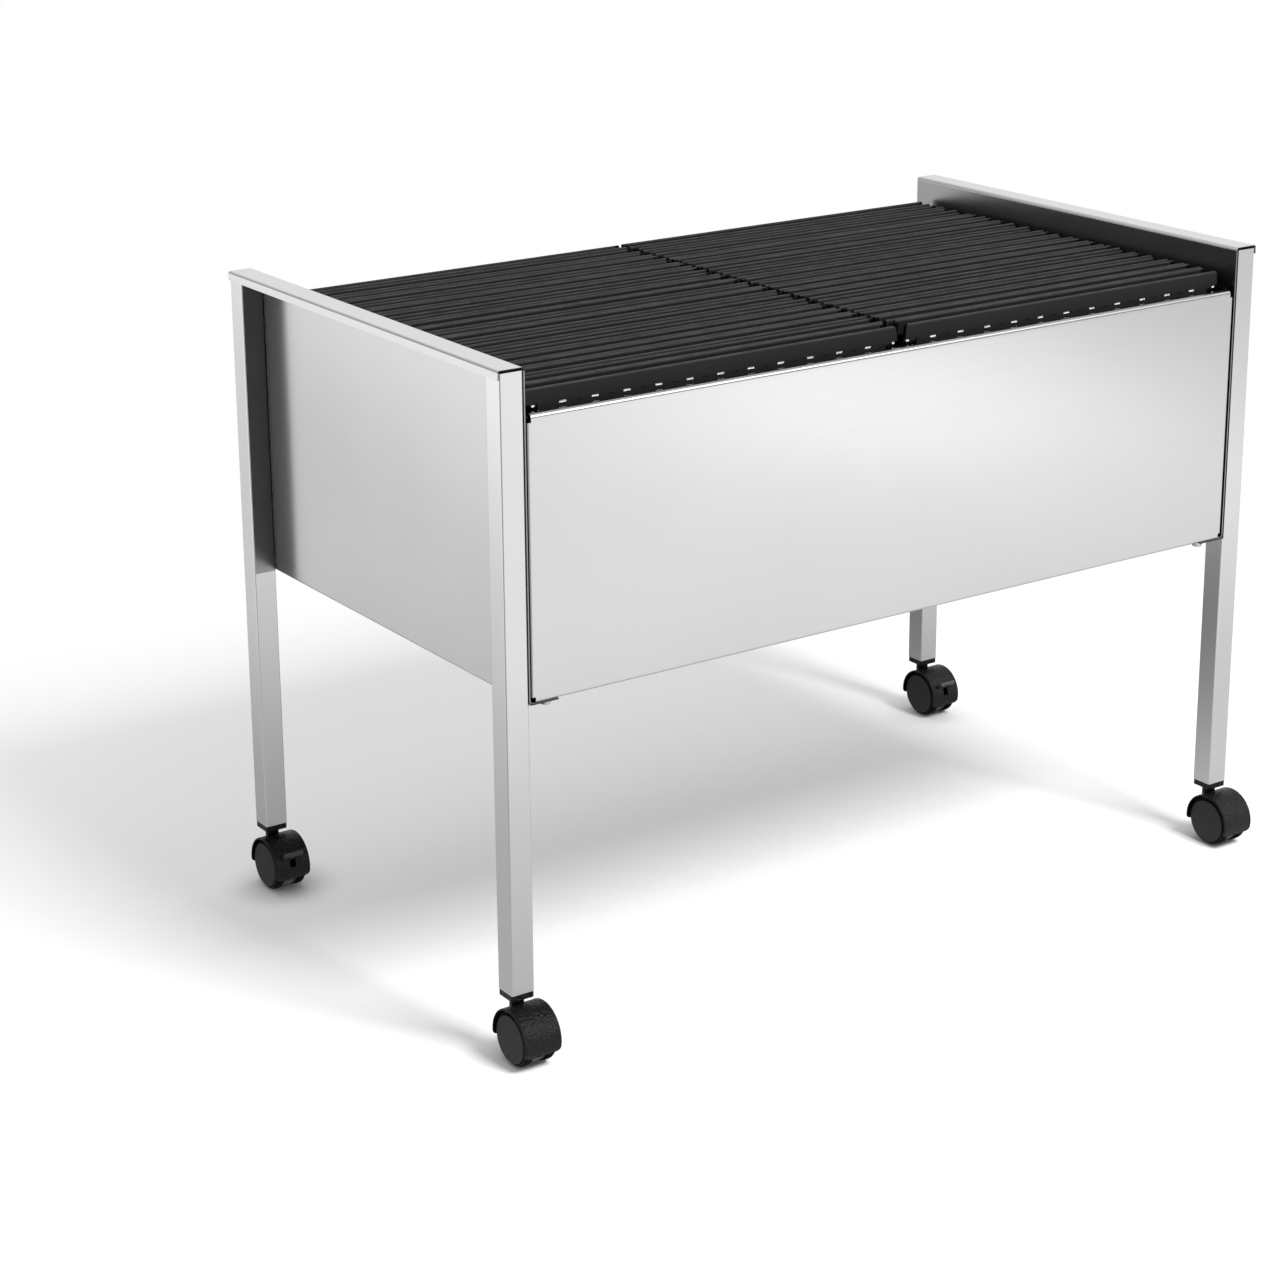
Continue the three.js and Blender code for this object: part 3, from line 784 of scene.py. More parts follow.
# Bolt: how far its head hangs below the solid's, then the sizes of its head, shank and cross recess
BOLT_DROP = 1.6 * MM
BOLT_HEAD = 5.2 * MM
BOLT_ROUND = 1.4 * MM
BOLT_SHANK = 2 * MM
BOLT_TIP = 0.5 * MM
DOME_FLAT = 0.45
DOME_RISE = 0.25 * MM
DOME_SQUASH = 0.82
RECESS_REACH = 2.3 * MM
RECESS_HALF = 0.5 * MM
RECESS_DEPTH = 1.6 * MM
RECESS_LEAD = 1 * MM


def make_post(corner):
    """A square tube with painted shade: a dark band at its rim under the cap, a dark strip in the joint
    beside its panel, and darker steel on its face beside the end panel.
    """
    low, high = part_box(f"{corner}_post")
    size, wall, radius = high.x - low.x, sizes().tube_wall, sizes().tube_corner
    middle = ((low + high) / 2).to_2d()
    outside = [point + middle for point in square_outline(size, radius)]
    inside = [point + middle for point in square_outline(size - 2 * wall, max(LEAST_RADIUS, radius - wall))]
    tube = prism_object(f"{corner}_post_tube", outside, low.z, high.z, in_xy, inside)
    soften(paint(tube, *POST_FINISHES), TUBE_EDGE)
    panel_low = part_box(f"{corner.split('_')[1]}_end_panel")[0].z
    rim_low = high.z - sizes().post_rim_shade
    for height in (panel_low, rim_low):
        score(tube, height)
    inner_x = min(low.x, high.x, key=abs)
    inner_y = min(low.y, high.y, key=abs)

    # Painted shade: the post's face beside the end panel takes the darker shaded steel
    def facing_post(face):
        return abs(face.y - inner_y) < ON_FACE and face.z > panel_low

    # Painted shade: a dark strip in the post's inner corner beside the panel, and a dark band at its rim
    # under the cap
    def shaded_joint_and_rim(face):
        across = min(abs(face.y - low.y), abs(face.y - high.y))
        at_corner = abs(face.x - inner_x) < radius and across < radius
        return at_corner and face.z > panel_low or face.z > rim_low

    paint_faces(tube, SHADED_STEEL, facing_post)
    paint_faces(tube, PAINTED_SHADE, shaded_joint_and_rim)
    dress(tube, "frame", "steel", f"{corner}_post")


def make_end_panel(side_name):
    """A sheet inside two posts, folded over their tops as a cap with a lip and inwards at its foot."""
    side = SIDES[side_name]
    low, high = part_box(f"{side_name}_end_panel")
    sheet, bend = sizes().sheet, sizes().bend + sizes().sheet / 2
    flange_x, outer_x = sorted((abs(low.x), abs(high.x)))
    lip_x = outer_x - sheet / 2
    post_in, post_out = sorted(abs(end.x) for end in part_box(f"front_{side_name}_post"))
    gap = outer_x - sheet - post_out
    wall_x = post_in - gap - sheet / 2
    top, bottom = high.z - sheet / 2, low.z + sheet / 2
    path = bent_path(
        [
            (side * (lip_x + sizes().lip_flare), high.z - sizes().cap_lip),
            (side * lip_x, top),
            (side * wall_x, top),
            (side * wall_x, bottom),
            (side * flange_x, bottom),
        ],
        [bend, sizes().cap_bend + sheet / 2, bend],
    )
    columns = split(low.y, high.y, 4)
    name = f"{side_name}_end_sheet"
    panel = sheet_object(name, path, columns, lambda point, y: in_xz(y, point), sheet, END_FINISHES)
    paint(panel, "Unpolished steel")
    inner_face = wall_x - sheet / 4
    wall_top = high.z - sizes().cap_bend - 2 * sheet

    # Painted shade: the end panel's inner side and the cut edges of its wall take the darker shaded steel
    def inside(middle):
        return abs(middle.x) < inner_face and low.z + INSIDE_FOOT < middle.z < high.z - INSIDE_HEAD

    def wall_edge(middle):
        across = min(abs(middle.y - low.y), abs(middle.y - high.y))
        return across < sheet / 4 and low.z + 2 * sheet < middle.z < wall_top

    paint_faces(panel, SHADED_STEEL, inside)
    paint_faces(panel, SHADED_STEEL, wall_edge)
    soften(panel, SHEET_EDGE, SHEET_ANGLE)
    dress(panel, "frame", "steel", f"{side_name}_end_panel")


def make_long_panel(end_name):
    """A shallow tray: a face with folded sides, a foot flange, a hemmed top edge and relief cuts between."""
    end = ENDS[end_name]
    low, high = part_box(f"{end_name}_panel")
    sheet, radius = sizes().sheet, sizes().bend + sizes().sheet / 2
    face_y = (low.y if end < 0 else high.y) - end * sheet / 2
    flange_y = high.y if end < 0 else low.y
    hem_y = face_y - end * (sizes().top_flange - sheet)
    side_y = face_y - end * (sizes().side_flange - sheet / 2)
    top, bottom = high.z - sheet / 2, low.z + sheet / 2
    face_low = low.z + sizes().notch_height
    hem_low = high.z - sizes().top_hem
    face_high = hem_low - HEM_GAP
    path = bent_path(
        [(hem_y, hem_low), (hem_y, top), (face_y, top), (face_y, bottom), (flange_y, bottom)],
        [radius, sizes().top_bend + sheet / 2, radius],
        FOLD_STEPS,
    )
    above = max(i for i, p in enumerate(path) if abs(p.x - face_y) < SAME_POINT and p.y > face_high)
    face = [Vector((face_y, z)) for z in split(face_high, face_low, FACE_ROWS)]
    rows = [*path[: above + 1], *face, *path[above + 1 :]]
    first = above + 1
    half = high.x - sheet / 2
    inner = high.x - sizes().notch_width
    bend = bent_path([(inner, face_y), (half, face_y), (half, side_y)], radius)[1:]
    across = [Vector((x, face_y)) for x in split(-inner, inner, 8)]
    columns = [*(Vector((-p.x, p.y)) for p in reversed(bend)), *across, *bend]

    def place(row, column):
        depth = row.x + (column.y - face_y)
        return Vector((column.x, depth, row.y))

    def keep(row, column):
        middle = len(bend) <= column < len(bend) + len(across) - 1
        return middle or first <= row < first + FACE_ROWS

    panel = sheet_object(f"{end_name}_panel_sheet", rows, columns, place, sheet, SHEET_FINISHES, keep)
    soften(panel, SHEET_EDGE, SHEET_ANGLE)
    dress(panel, "frame", "steel", f"{end_name}_panel")


def make_bolt(corner):
    """A tall pan-head bolt with a cross recess."""
    low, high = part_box(f"{corner}_bolt")
    middle = (low + high) / 2
    radius = (high.x - low.x) / 2
    low.z -= BOLT_DROP
    under = low.z + BOLT_HEAD
    dome = arc((BOLT_ROUND, radius - BOLT_ROUND), BOLT_ROUND, 180, 90, 6)
    profile = [
        (low.z, 0.0),
        (low.z, radius * DOME_FLAT),
        *((low.z + DOME_RISE + point.x * DOME_SQUASH, point.y) for point in dome),
        (under, radius),
        (under, BOLT_SHANK),
        (high.z - BOLT_TIP, BOLT_SHANK),
        (high.z, BOLT_SHANK - BOLT_TIP),
        (high.z, 0.0),
    ]
    bolt = turned_object(f"{corner}_pan_bolt", profile, 40, upright_at(middle))
    for wide, deep in ((RECESS_REACH, RECESS_HALF), (RECESS_HALF, RECESS_REACH)):
        outline = [(wide, -deep), (wide, deep), (-wide, deep), (-wide, -deep)]
        shifted = [Vector(point) + middle.to_2d() for point in outline]
        slot = prism_object("recess", shifted, low.z - RECESS_LEAD, low.z + RECESS_DEPTH, in_xy)
        combine(bolt, slot, "DIFFERENCE")
    soften(paint(bolt, "Plated bolt"), 0)
    dress(bolt, "frame", "zinc", f"{corner}_bolt")


# Hanging files

# Card: how far its flaps reach past the pocket, where its folds begin and end at the bar, and its foot
FLAP_OVERHANG = 12 * MM
FLAP_START = 0.7 * MM
FOLD_END = 1 * MM
FOLD_DEPTH = 3.8 * MM
FOLD_SPARE = 0.02 * MM
CARD_FOOT = 2 * MM
CARD_COLUMNS = 12
CARD_ANGLE = 38
CREST_ANGLES = (30, 55, 75)

# Tab slots of a front flap, the crease marks between them, painted dark as shade, and how near another column
# may come to an edge
TAB_SLOTS = 11
SLOT_MARGIN = 13.5 * MM
CREASE_HALF = 2.6 * MM
CREASE_LOW, CREASE_HIGH = 0.25 * MM, 0.85 * MM
EDGE_APART = 1.2 * MM

SECOND_FILE_BACK = 0.5 * MM
BAR_EDGE = 0.2 * MM
ROW_SEEDS = {"left": 11, "right": 4}

# How far each measure of a hanging file may wander, as shares of the unevenness
WANDER = {
    "front_in": (0.0, 0.6),
    "back_in": (0.0, 1.4),
    "front_down": (0.0, 0.5),
    "back_down": (0.0, 0.9),
    "front_lean": (-0.1, 0.4),
    "back_lean": (-0.5, 0.1),
}

# Hanger bar: its arm, its tip and how that hooks over the rail
HOOK_REACH = 10 * MM
HOOK_TIP = 2.6 * MM
HOOK_DROP = 4 * MM
HOOK_SEAT = 0.3 * MM
# Height of the pale painted glint on top of a front hook's tip
TIP_GLINT = 1.6 * MM


def file_place(index):
    """Front and back of a hanging file, counted from the front."""
    low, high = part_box("left_front_file_card")
    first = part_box("left_file_pack_1")[0].y
    pitch = first - low.y
    front = low.y + index * pitch
    return front, front + high.y - low.y


def card_rows(front, back, shape):
    """The middle line of a file's card, over the front bar, down to the bottom fold and over the back bar.

    Each point is (y, z)."""
    low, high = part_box("left_front_file_card")
    fold_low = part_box("left_front_file_front_bar")[0].z - FOLD_END
    half = sizes().card / 2
    reach = FOLD_DEPTH - sizes().card
    middle = (front + back) / 2
    front_y = front + half + shape["front_in"]
    back_y = back - half - shape["back_in"]
    front_top = high.z - half - shape["front_down"]
    back_top = high.z - half - shape["back_down"]
    corners = [
        (front_y + reach, fold_low),
        (front_y + reach + shape["front_lean"], front_top),
        (front_y + shape["front_lean"], front_top),
        (front_y, fold_low),
        (middle - CARD_FOOT, low.z + half),
        (middle + CARD_FOOT, low.z + half),
        (back_y, fold_low),
        (back_y + shape["back_lean"], back_top),
        (back_y - reach + shape["back_lean"], back_top),
        (back_y - reach, fold_low),
    ]
    return bent_path(corners, reach / 2 - FOLD_SPARE, 8)


def with_levels(rows, levels):
    """Adds points to a line of (y, z) so that it has one at each level that a long stretch passes."""
    out = [rows[0]]
    for first, second in zip(rows, rows[1:]):
        inside = [z for z in levels if min(first.y, second.y) + 1e-6 < z < max(first.y, second.y) - 1e-6]
        for z in sorted(inside, reverse=first.y > second.y):
            share = (z - first.y) / (second.y - first.y)
            out.append(first.lerp(second, share))
        out.append(second)
    return out


def tab_slots(card_half, count):
    """Where a front flap's tab slots lie along x, and the crease marks between them, which are painted dark
    as shade.
    """
    wide = sizes().slot_length
    pitch = (2 * card_half - 2 * SLOT_MARGIN - wide) / (count - 1)
    middles = [(number - (count - 1) / 2) * pitch for number in range(count)]
    openings = [(x - wide / 2, x + wide / 2) for x in middles]
    creases = [(x + pitch / 2 - CREASE_HALF, x + pitch / 2 + CREASE_HALF) for x in middles[:-1]]
    return openings, creases


def make_file_card(name, centre, front, back, shape, slots):
    """One hanging file: a bent card whose flaps are wider than the pocket, with rounded flap ends."""
    low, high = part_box("left_front_file_card")
    flap_half = (high.x - low.x) / 2
    card_half = flap_half - FLAP_OVERHANG
    flap_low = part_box("left_front_file_front_bar")[1].z + FLAP_START
    round_end = shape["corner"]
    reach = flap_half + shape["extra"]
    dark_from = reach - sizes().dark_end
    slot_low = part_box("left_rail")[1].z + sizes().slot_rise - sizes().slot_height / 2
    slot_high = slot_low + sizes().slot_height
    crease_low, crease_high = slot_low + CREASE_LOW, slot_low + CREASE_HIGH
    crest_levels = [high.z - round_end * (1 - math.cos(math.radians(a))) for a in CREST_ANGLES]
    levels = [flap_low, *crest_levels, high.z - round_end]
    openings, creases = [], []
    if slots:
        levels += [slot_low, crease_low, crease_high, slot_high]
        openings, creases = tab_slots(card_half, slots)
    rows = with_levels(card_rows(front, back, shape), sorted(set(levels)))
    edges = [x for pair in openings + creases for x in pair]
    marks = [-reach, -dark_from, dark_from, reach, *split(-card_half, card_half, CARD_COLUMNS)]
    marks = [m for m in marks if all(abs(m - e) > EDGE_APART for e in edges)] + edges
    columns = sorted(set(round(m, 7) for m in marks))
    bow, turns, phase = shape["wave"]

    def place(row, x):
        y, z = row.x, row.y
        rise = max(0.0, z - (high.z - round_end))
        trim = round_end - math.sqrt(max(0.0, round_end**2 - min(rise, round_end) ** 2))
        if x * centre < 0:
            trim += shape["slant"] * max(0.0, z - flap_low) / (high.z - flap_low)
        if abs(x) > card_half:
            longer = shape["outer"] if x * centre > 0 else 0.0
            x = math.copysign(abs(x) - trim + longer, x)
        share = min(1.0, max(0.0, (z - low.z) / (high.z - low.z)))
        y += share * bow * math.sin(x / flap_half * turns + phase)
        return Vector((centre + x, y, z))

    front_edge = front + sizes().card * 1.5

    def keep(row, column):
        z = (rows[row].y + rows[row + 1].y) / 2
        x = (columns[column] + columns[column + 1]) / 2
        if abs(x) > card_half and z < flap_low:
            return False
        outside = rows[row].x < front_edge and rows[row + 1].x < front_edge
        cut = outside and slot_low < z < slot_high
        return not (cut and any(a < x < b for a, b in openings))

    card = sheet_object(name, rows, columns, place, sizes().card, ["Black card"], keep)
    paint(card, "Matt black card")
    limb = FOLD_DEPTH * 0.6

    # Painted shade: the inner ends of the flaps and the crease marks between the tab slots take the
    # near-black card finish
    def unlit(middle):
        x = middle.x - centre
        if middle.y < front + sizes().card:
            return crease_low < middle.z < crease_high and any(a < x < b for a, b in creases)
        inside = front + limb < middle.y < back - limb and middle.z < high.z - sizes().card
        return inside and abs(x) > dark_from

    paint_faces(card, 1, unlit)
    shade(card, CARD_ANGLE)
    add_modifier(card, "WEIGHTED_NORMAL", keep_sharp=True)
    return card


def add_bar(bm, centre, y_low, y_high):
    """A hanger bar: a flat bar in the fold, with an arm at each end and a tip that hooks over the rail.

    It is one closed shape of cells, so that its arms and tips can be finished apart."""
    low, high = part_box("left_front_file_front_bar")
    rail_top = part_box("left_rail")[1].z
    half = (high.x - low.x) / 2
    inner, tip = half - HOOK_REACH, half - HOOK_TIP
    columns = [-half, -tip, -inner, inner, tip, half]
    rows = [low.z, rail_top - HOOK_DROP, rail_top + HOOK_SEAT, high.z - TIP_GLINT, high.z]
    lowest_cells = [1, 2, 0, 2, 1]  # the lowest filled row of each column: tip, arm, bar, arm, tip
    made = {}

    def vertex(corner, y):
        if (corner, y) not in made:
            made[corner, y] = bm.verts.new((centre + columns[corner[0]], y, rows[corner[1]]))
        return made[corner, y]

    def filled(column, row):
        return 0 <= column < len(lowest_cells) and lowest_cells[column] <= row < len(rows) - 1

    for column, lowest in enumerate(lowest_cells):
        for row in range(lowest, len(rows) - 1):
            corners = [(column, row), (column + 1, row), (column + 1, row + 1), (column, row + 1)]
            for y in (y_low, y_high):
                bm.faces.new([vertex(corner, y) for corner in corners])
            beside = [(column, row - 1), (column + 1, row), (column, row + 1), (column - 1, row)]
            for first, second, neighbour in zip(corners, corners[1:] + corners[:1], beside):
                if not filled(*neighbour):
                    edge = ((first, y_low), (second, y_low), (second, y_high), (first, y_high))
                    bm.faces.new([vertex(*end) for end in edge])


def finish_bars(bm, name, centre, worn):
    """Makes hanger bars into a piece with dark arms. With worn set, the tops of the tips keep the pale finish
    as a painted glint.
    """
    bars = paint(new_object(bm, name), "Pale lacquered bar", "Dark plated hook")
    low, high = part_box("left_front_file_front_bar")
    half = (high.x - low.x) / 2
    inner, tip = half - HOOK_REACH, half - HOOK_TIP

    def dark(middle):
        out = abs(middle.x - centre)
        bright = worn and out > tip and middle.z > high.z - TIP_GLINT
        return out > inner - ON_FACE and not bright

    paint_faces(bars, 1, dark)
    soften(bars, BAR_EDGE)
    return bars


def file_shape(draw):
    """How one file hangs: its flaps' places, heights, leans and bow."""
    hang = {name: draw.uniform(*span) * sizes().unevenness for name, span in WANDER.items()}
    wave = (draw.uniform(0.1, 0.3) * MM, draw.uniform(1.2, 3.0), draw.uniform(0, 6.28))
    ends = {"slant": 0.0, "corner": sizes().flap_corner, "extra": sizes().flap_reach, "outer": 0.0}
    return {**hang, **ends, "wave": wave}


def still_shape(outer):
    """A front file, which hangs straight; outer is how far its outer flap end reaches further."""
    ends = {"slant": sizes().flap_slant, "corner": sizes().front_corner, "extra": 0.0, "outer": outer}
    return {**dict.fromkeys(WANDER, 0.0), **ends, "wave": (0.0, 1.0, 0.0)}


def make_front_file(side_name):
    """The front file of a column and its two hanger bars."""
    low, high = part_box(f"{side_name}_front_file_card")
    centre = (low.x + high.x) / 2
    front, back = file_place(0)
    outer = sizes().outer_reach if side_name == "left" else 0.0
    card = make_file_card(f"{side_name}_file_01", centre, front, back, still_shape(outer), TAB_SLOTS)
    body = f"{side_name}_front_file"
    dress(card, body, "card", f"{side_name}_front_file_card")
    for place in ("front", "back"):
        node = f"{side_name}_front_file_{place}_bar"
        bar_low, bar_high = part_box(node)
        bm = bmesh.new()
        add_bar(bm, centre, bar_low.y, bar_high.y)
        bar = finish_bars(bm, f"{side_name}_file_01_{place}_hanger", centre, place == "front")
        dress(bar, body, "zinc", node)


def make_file_row(side_name):
    """The other files of a column. Each pack's first card stands for the pack, and its bars are one piece."""
    low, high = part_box(f"{side_name}_front_file_card")
    centre = (low.x + high.x) / 2
    draw = random.Random(ROW_SEEDS[side_name])
    body = f"{side_name}_files"
    bar_low, bar_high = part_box("left_front_file_front_bar")
    bar_inset = bar_low.y - low.y
    bar_thickness = bar_high.y - bar_low.y
    bars = None
    for index in range(1, FILES_PER_COLUMN):
        pack, place = divmod(index - 1, FILES_PER_PACK)
        front, back = file_place(index)
        shape = file_shape(draw)
        if index == 1:
            shape["front_in"] += SECOND_FILE_BACK
        card = make_file_card(f"{side_name}_file_{index + 1:02d}", centre, front, back, shape, 0)
        node = f"{side_name}_file_pack_{pack + 1}"
        dress(card, body, "card", *([node] if place == 0 else []))
        if place == 0:
            bars = bmesh.new()
        front_bar = front + shape["front_in"] + bar_inset
        back_bar = back - shape["back_in"] - bar_inset - bar_thickness
        for y in (front_bar, back_bar):
            add_bar(bars, centre, y, y + bar_thickness)
        if place == FILES_PER_PACK - 1 or index == FILES_PER_COLUMN - 1:
            dress(finish_bars(bars, f"{side_name}_hangers_{pack + 1}", centre, False), body, "zinc")


# Castors

# Wheel: its bore, its tread's inner edge, and the disc in its outer side
WHEEL_BORE = 2.8 * MM
BORE_DEPTH = 6 * MM
BACK_ROUND = 0.8 * MM
TREAD_SIDE = 3.2 * MM
DISC_PROUD = 2.2 * MM
DISC_GROOVE = 0.4 * MM
LIP_IN = 0.9 * MM
LIP_ROUND = 0.5 * MM
DISC_RIM = 1.2 * MM
DISC_CROWN = 0.5 * MM

# Hood: radii round the axle, and degrees from the back over the top; then its core and its neck
HOOD_INNER, HOOD_OUTER = 22.9 * MM, 24.3 * MM
HOOD_START, HOOD_END = -12.0, 200.0
CORE_RADIUS = 20.5 * MM
CORE_HALF = 6.5 * MM
CORE_LIFT = 5 * MM
CORE_STEP = 5
NECK_RADIUS = 5.7 * MM
NECK_FOOT = 26.3 * MM
NECK_EDGE = 0.5 * MM
NECK_RING = 3.4 * MM

# Brake, seen from the side: its pivot from the axle, its turn at rest and its travel in degrees, and its slot
PIVOT_FORWARD, PIVOT_RISE = 11 * MM, 4 * MM
PIVOT_RADIUS = 3 * MM
BRAKE_REST, BRAKE_TRAVEL = 38.0, 20.0
SLOT_HALF, SLOT_WIDE = 2.1 * MM, 2.8 * MM
SLOT_SPARE = 6 * MM
SLOT_SPARE_TURN = 14.0
SEAT_RADIUS = 3.3 * MM

# Brake lever: its tab, which starts at a radius round the axle, its tongue, and the grooves across the tab
TAB_START = 25.0 * MM
TAB_LENGTH, TAB_HALF, TAB_ROUND = 6 * MM, 1.7 * MM, 0.7 * MM
TAB_WIDE, TONGUE_WIDE = 8.5 * MM, 2.5 * MM
TONGUE_HALF, TONGUE_LAP = 1.8 * MM, 1 * MM
GROOVES = 3
GROOVE_FIRST, GROOVE_PITCH = 1.6 * MM, 1.35 * MM
GROOVE_HALF, GROOVE_MARGIN = 0.25 * MM, 1.2 * MM
GROOVE_FLOOR, GROOVE_TOP = 1.4 * MM, 2.2 * MM
LEVER_EDGE = 0.3 * MM


def castor_centre(corner):
    """The axle's middle."""
    low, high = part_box(f"{corner}_castor_axle")
    return (low + high) / 2


def castor_prism(name, corner, outline, half):
    """A solid across a castor's middle, from an outline seen from the side."""
    middle = castor_centre(corner).x
    return prism_object(name, outline, middle - half, middle + half, in_yz)


def make_wheel(corner, side_name):
    """One wheel of a castor: a tread with a disc set into its outer side."""
    node = f"{corner}_castor_{side_name}_wheel"
    low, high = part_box(node)
    centre = castor_centre(corner)
    side = SIDES[side_name]
    inner = (low.x if side > 0 else high.x) - centre.x
    width = high.x - low.x
    radius = centre.z - low.z
    edge = sizes().tread_edge
    disc = radius - TREAD_SIDE
    shoulder = width - DISC_PROUD
    dome = [(disc - DISC_RIM) * (1 - step / 10) for step in range(11)]
    profile = [
        (BORE_DEPTH, 0.0),
        (BORE_DEPTH, WHEEL_BORE),
        (0.0, WHEEL_BORE),
        *arc((BACK_ROUND, radius - BACK_ROUND), BACK_ROUND, 180, 90, 4),
        *arc((shoulder - edge, radius - edge), edge, 90, 12, 7),
        (shoulder - DISC_GROOVE, disc),
        *arc((width - LIP_IN, disc - LIP_ROUND), LIP_ROUND, 90, 10, 4),
        *((width - DISC_CROWN + DISC_CROWN * (1 - (r / disc) ** 2), r) for r in dome),
    ]

    def across(along, y, z):
        return Vector((centre.x + inner + side * along, centre.y + y, centre.z + z))

    wheel = turned_object(f"{corner}_{side_name}_wheel_tyre", profile, 72, across)
    paint(wheel, "Moulded black tyre", "Moulded black wheel")
    face = centre.x + inner + side * (shoulder - DISC_GROOVE / 2)
    paint_faces(wheel, 1, lambda middle: (middle.x - face) * side > 0)
    soften(wheel, 0)
    dress(wheel, f"{corner}_{side_name}_wheel", "plastic", node)


def hood_shell(corner):
    """The hood's curved cover, with rounded sides and rounded lower corners."""
    low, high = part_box(f"{corner}_castor_hood")
    centre = castor_centre(corner)
    half = (high.x - low.x) / 2
    edge, round_corner = sizes().hood_edge, sizes().hood_corner
    # The steps are finer by the rounded corners
    near_start, near_end = HOOD_START + 10, HOOD_END - 12
    angles = [
        *split(HOOD_START, near_start, 8),
        *split(near_start, near_end, 44)[1:],
        *split(near_end, HOOD_END, 10)[1:],
    ]
    bm = bmesh.new()
    rings = []
    for angle in angles:
        left = math.radians(min(angle - HOOD_START, HOOD_END - angle)) * HOOD_OUTER
        short = max(0.0, round_corner - left)
        trim = round_corner - math.sqrt(max(0.0, round_corner**2 - short**2))
        reach = half - trim
        section = [
            Vector((-reach, HOOD_INNER)),
            *arc((-reach + edge, HOOD_OUTER - edge), edge, 180, 90, 5),
            *arc((reach - edge, HOOD_OUTER - edge), edge, 90, 0, 5),
            Vector((reach, HOOD_INNER)),
        ]
        cos, sin = math.cos(math.radians(angle)), math.sin(math.radians(angle))
        places = [(centre.x + p.x, centre.y + p.y * cos, centre.z + p.y * sin) for p in section]
        rings.append([bm.verts.new(place) for place in places])
    for first, second in zip(rings, rings[1:]):
        bridge(bm, first, second)
    for end in (rings[0], rings[-1]):
        bm.faces.new(end)
    return new_object(bm, f"{corner}_castor_fork")


def hood_core(corner):
    """The web between the wheels, which holds the axle."""
    centre = castor_centre(corner)
    middle = (centre.y, centre.z)
    drop = math.degrees(math.asin((centre.z - CORE_LIFT) / CORE_RADIUS))
    outline = [
        *arc(middle, (HOOD_INNER + HOOD_OUTER) / 2, HOOD_START, HOOD_END, 30),
        *arc(middle, CORE_RADIUS, HOOD_END + CORE_STEP, 180 + drop, 6),
        *arc(middle, CORE_RADIUS, -drop, HOOD_START - CORE_STEP, 6),
    ]
    return castor_prism("core", corner, outline, CORE_HALF)


def hood_neck(corner):
    """The round neck on the hood, which takes the stem."""
    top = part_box(f"{corner}_castor_hood")[1].z
    post_low, post_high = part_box(f"{corner}_post")
    profile = [
        (NECK_FOOT, 0.0),
        (NECK_FOOT, NECK_RADIUS),
        (top - NECK_RING, NECK_RADIUS),
        (top - NECK_EDGE, NECK_RADIUS),
        (top, NECK_RADIUS - NECK_EDGE),
        (top, 0.0),
    ]
    return turned_object("neck", profile, 40, upright_at((post_low + post_high) / 2))


def make_hood(corner, braked):
    """A castor's hood: its cover, core and neck, with a slot where a brake passes through."""
    hood = hood_shell(corner)
    combine(hood, hood_core(corner), "UNION")
    combine(hood, hood_neck(corner), "UNION")
    if braked:
        combine(hood, brake_slot(corner), "DIFFERENCE")
    soften(paint(hood, "Moulded black plastic"), 0)
    dress(hood, f"{corner}_castor", "plastic", f"{corner}_castor_hood")


def brake_pivot(corner):
    centre = castor_centre(corner)
    return Vector((centre.y - PIVOT_FORWARD, centre.z + PIVOT_RISE))


def from_pivot(corner, angle, distance, offset):
    """A point of the brake seen from the side: along its tongue and square to it."""
    turn = math.radians(angle)
    forward = math.cos(turn) * distance - math.sin(turn) * offset
    rise = math.sin(turn) * distance + math.cos(turn) * offset
    pivot = brake_pivot(corner)
    return Vector((pivot.x - forward, pivot.y + rise))


def tongue_reach(distance):
    """How far the tongue runs from its pivot until it is a given distance from the axle."""
    turn = math.radians(BRAKE_REST)
    along = PIVOT_FORWARD * math.cos(turn) + PIVOT_RISE * math.sin(turn)
    return math.sqrt(along**2 - PIVOT_FORWARD**2 - PIVOT_RISE**2 + distance**2) - along


def brake_slot(corner):
    """The space in the hood that the brake's tongue sweeps."""
    reach = tongue_reach(HOOD_OUTER) + SLOT_SPARE
    lowered = BRAKE_REST - BRAKE_TRAVEL - SLOT_SPARE_TURN
    outline = [
        from_pivot(corner, BRAKE_REST, 0, SLOT_HALF),
        from_pivot(corner, BRAKE_REST, reach, SLOT_HALF),
        from_pivot(corner, lowered, reach, -SLOT_HALF),
        from_pivot(corner, lowered, 0, -SLOT_HALF),
    ]
    slot = castor_prism("slot", corner, outline, SLOT_WIDE)
    seat = circle(brake_pivot(corner), SEAT_RADIUS, 24)
    combine(slot, castor_prism("seat", corner, seat, SLOT_WIDE), "UNION")
    return slot


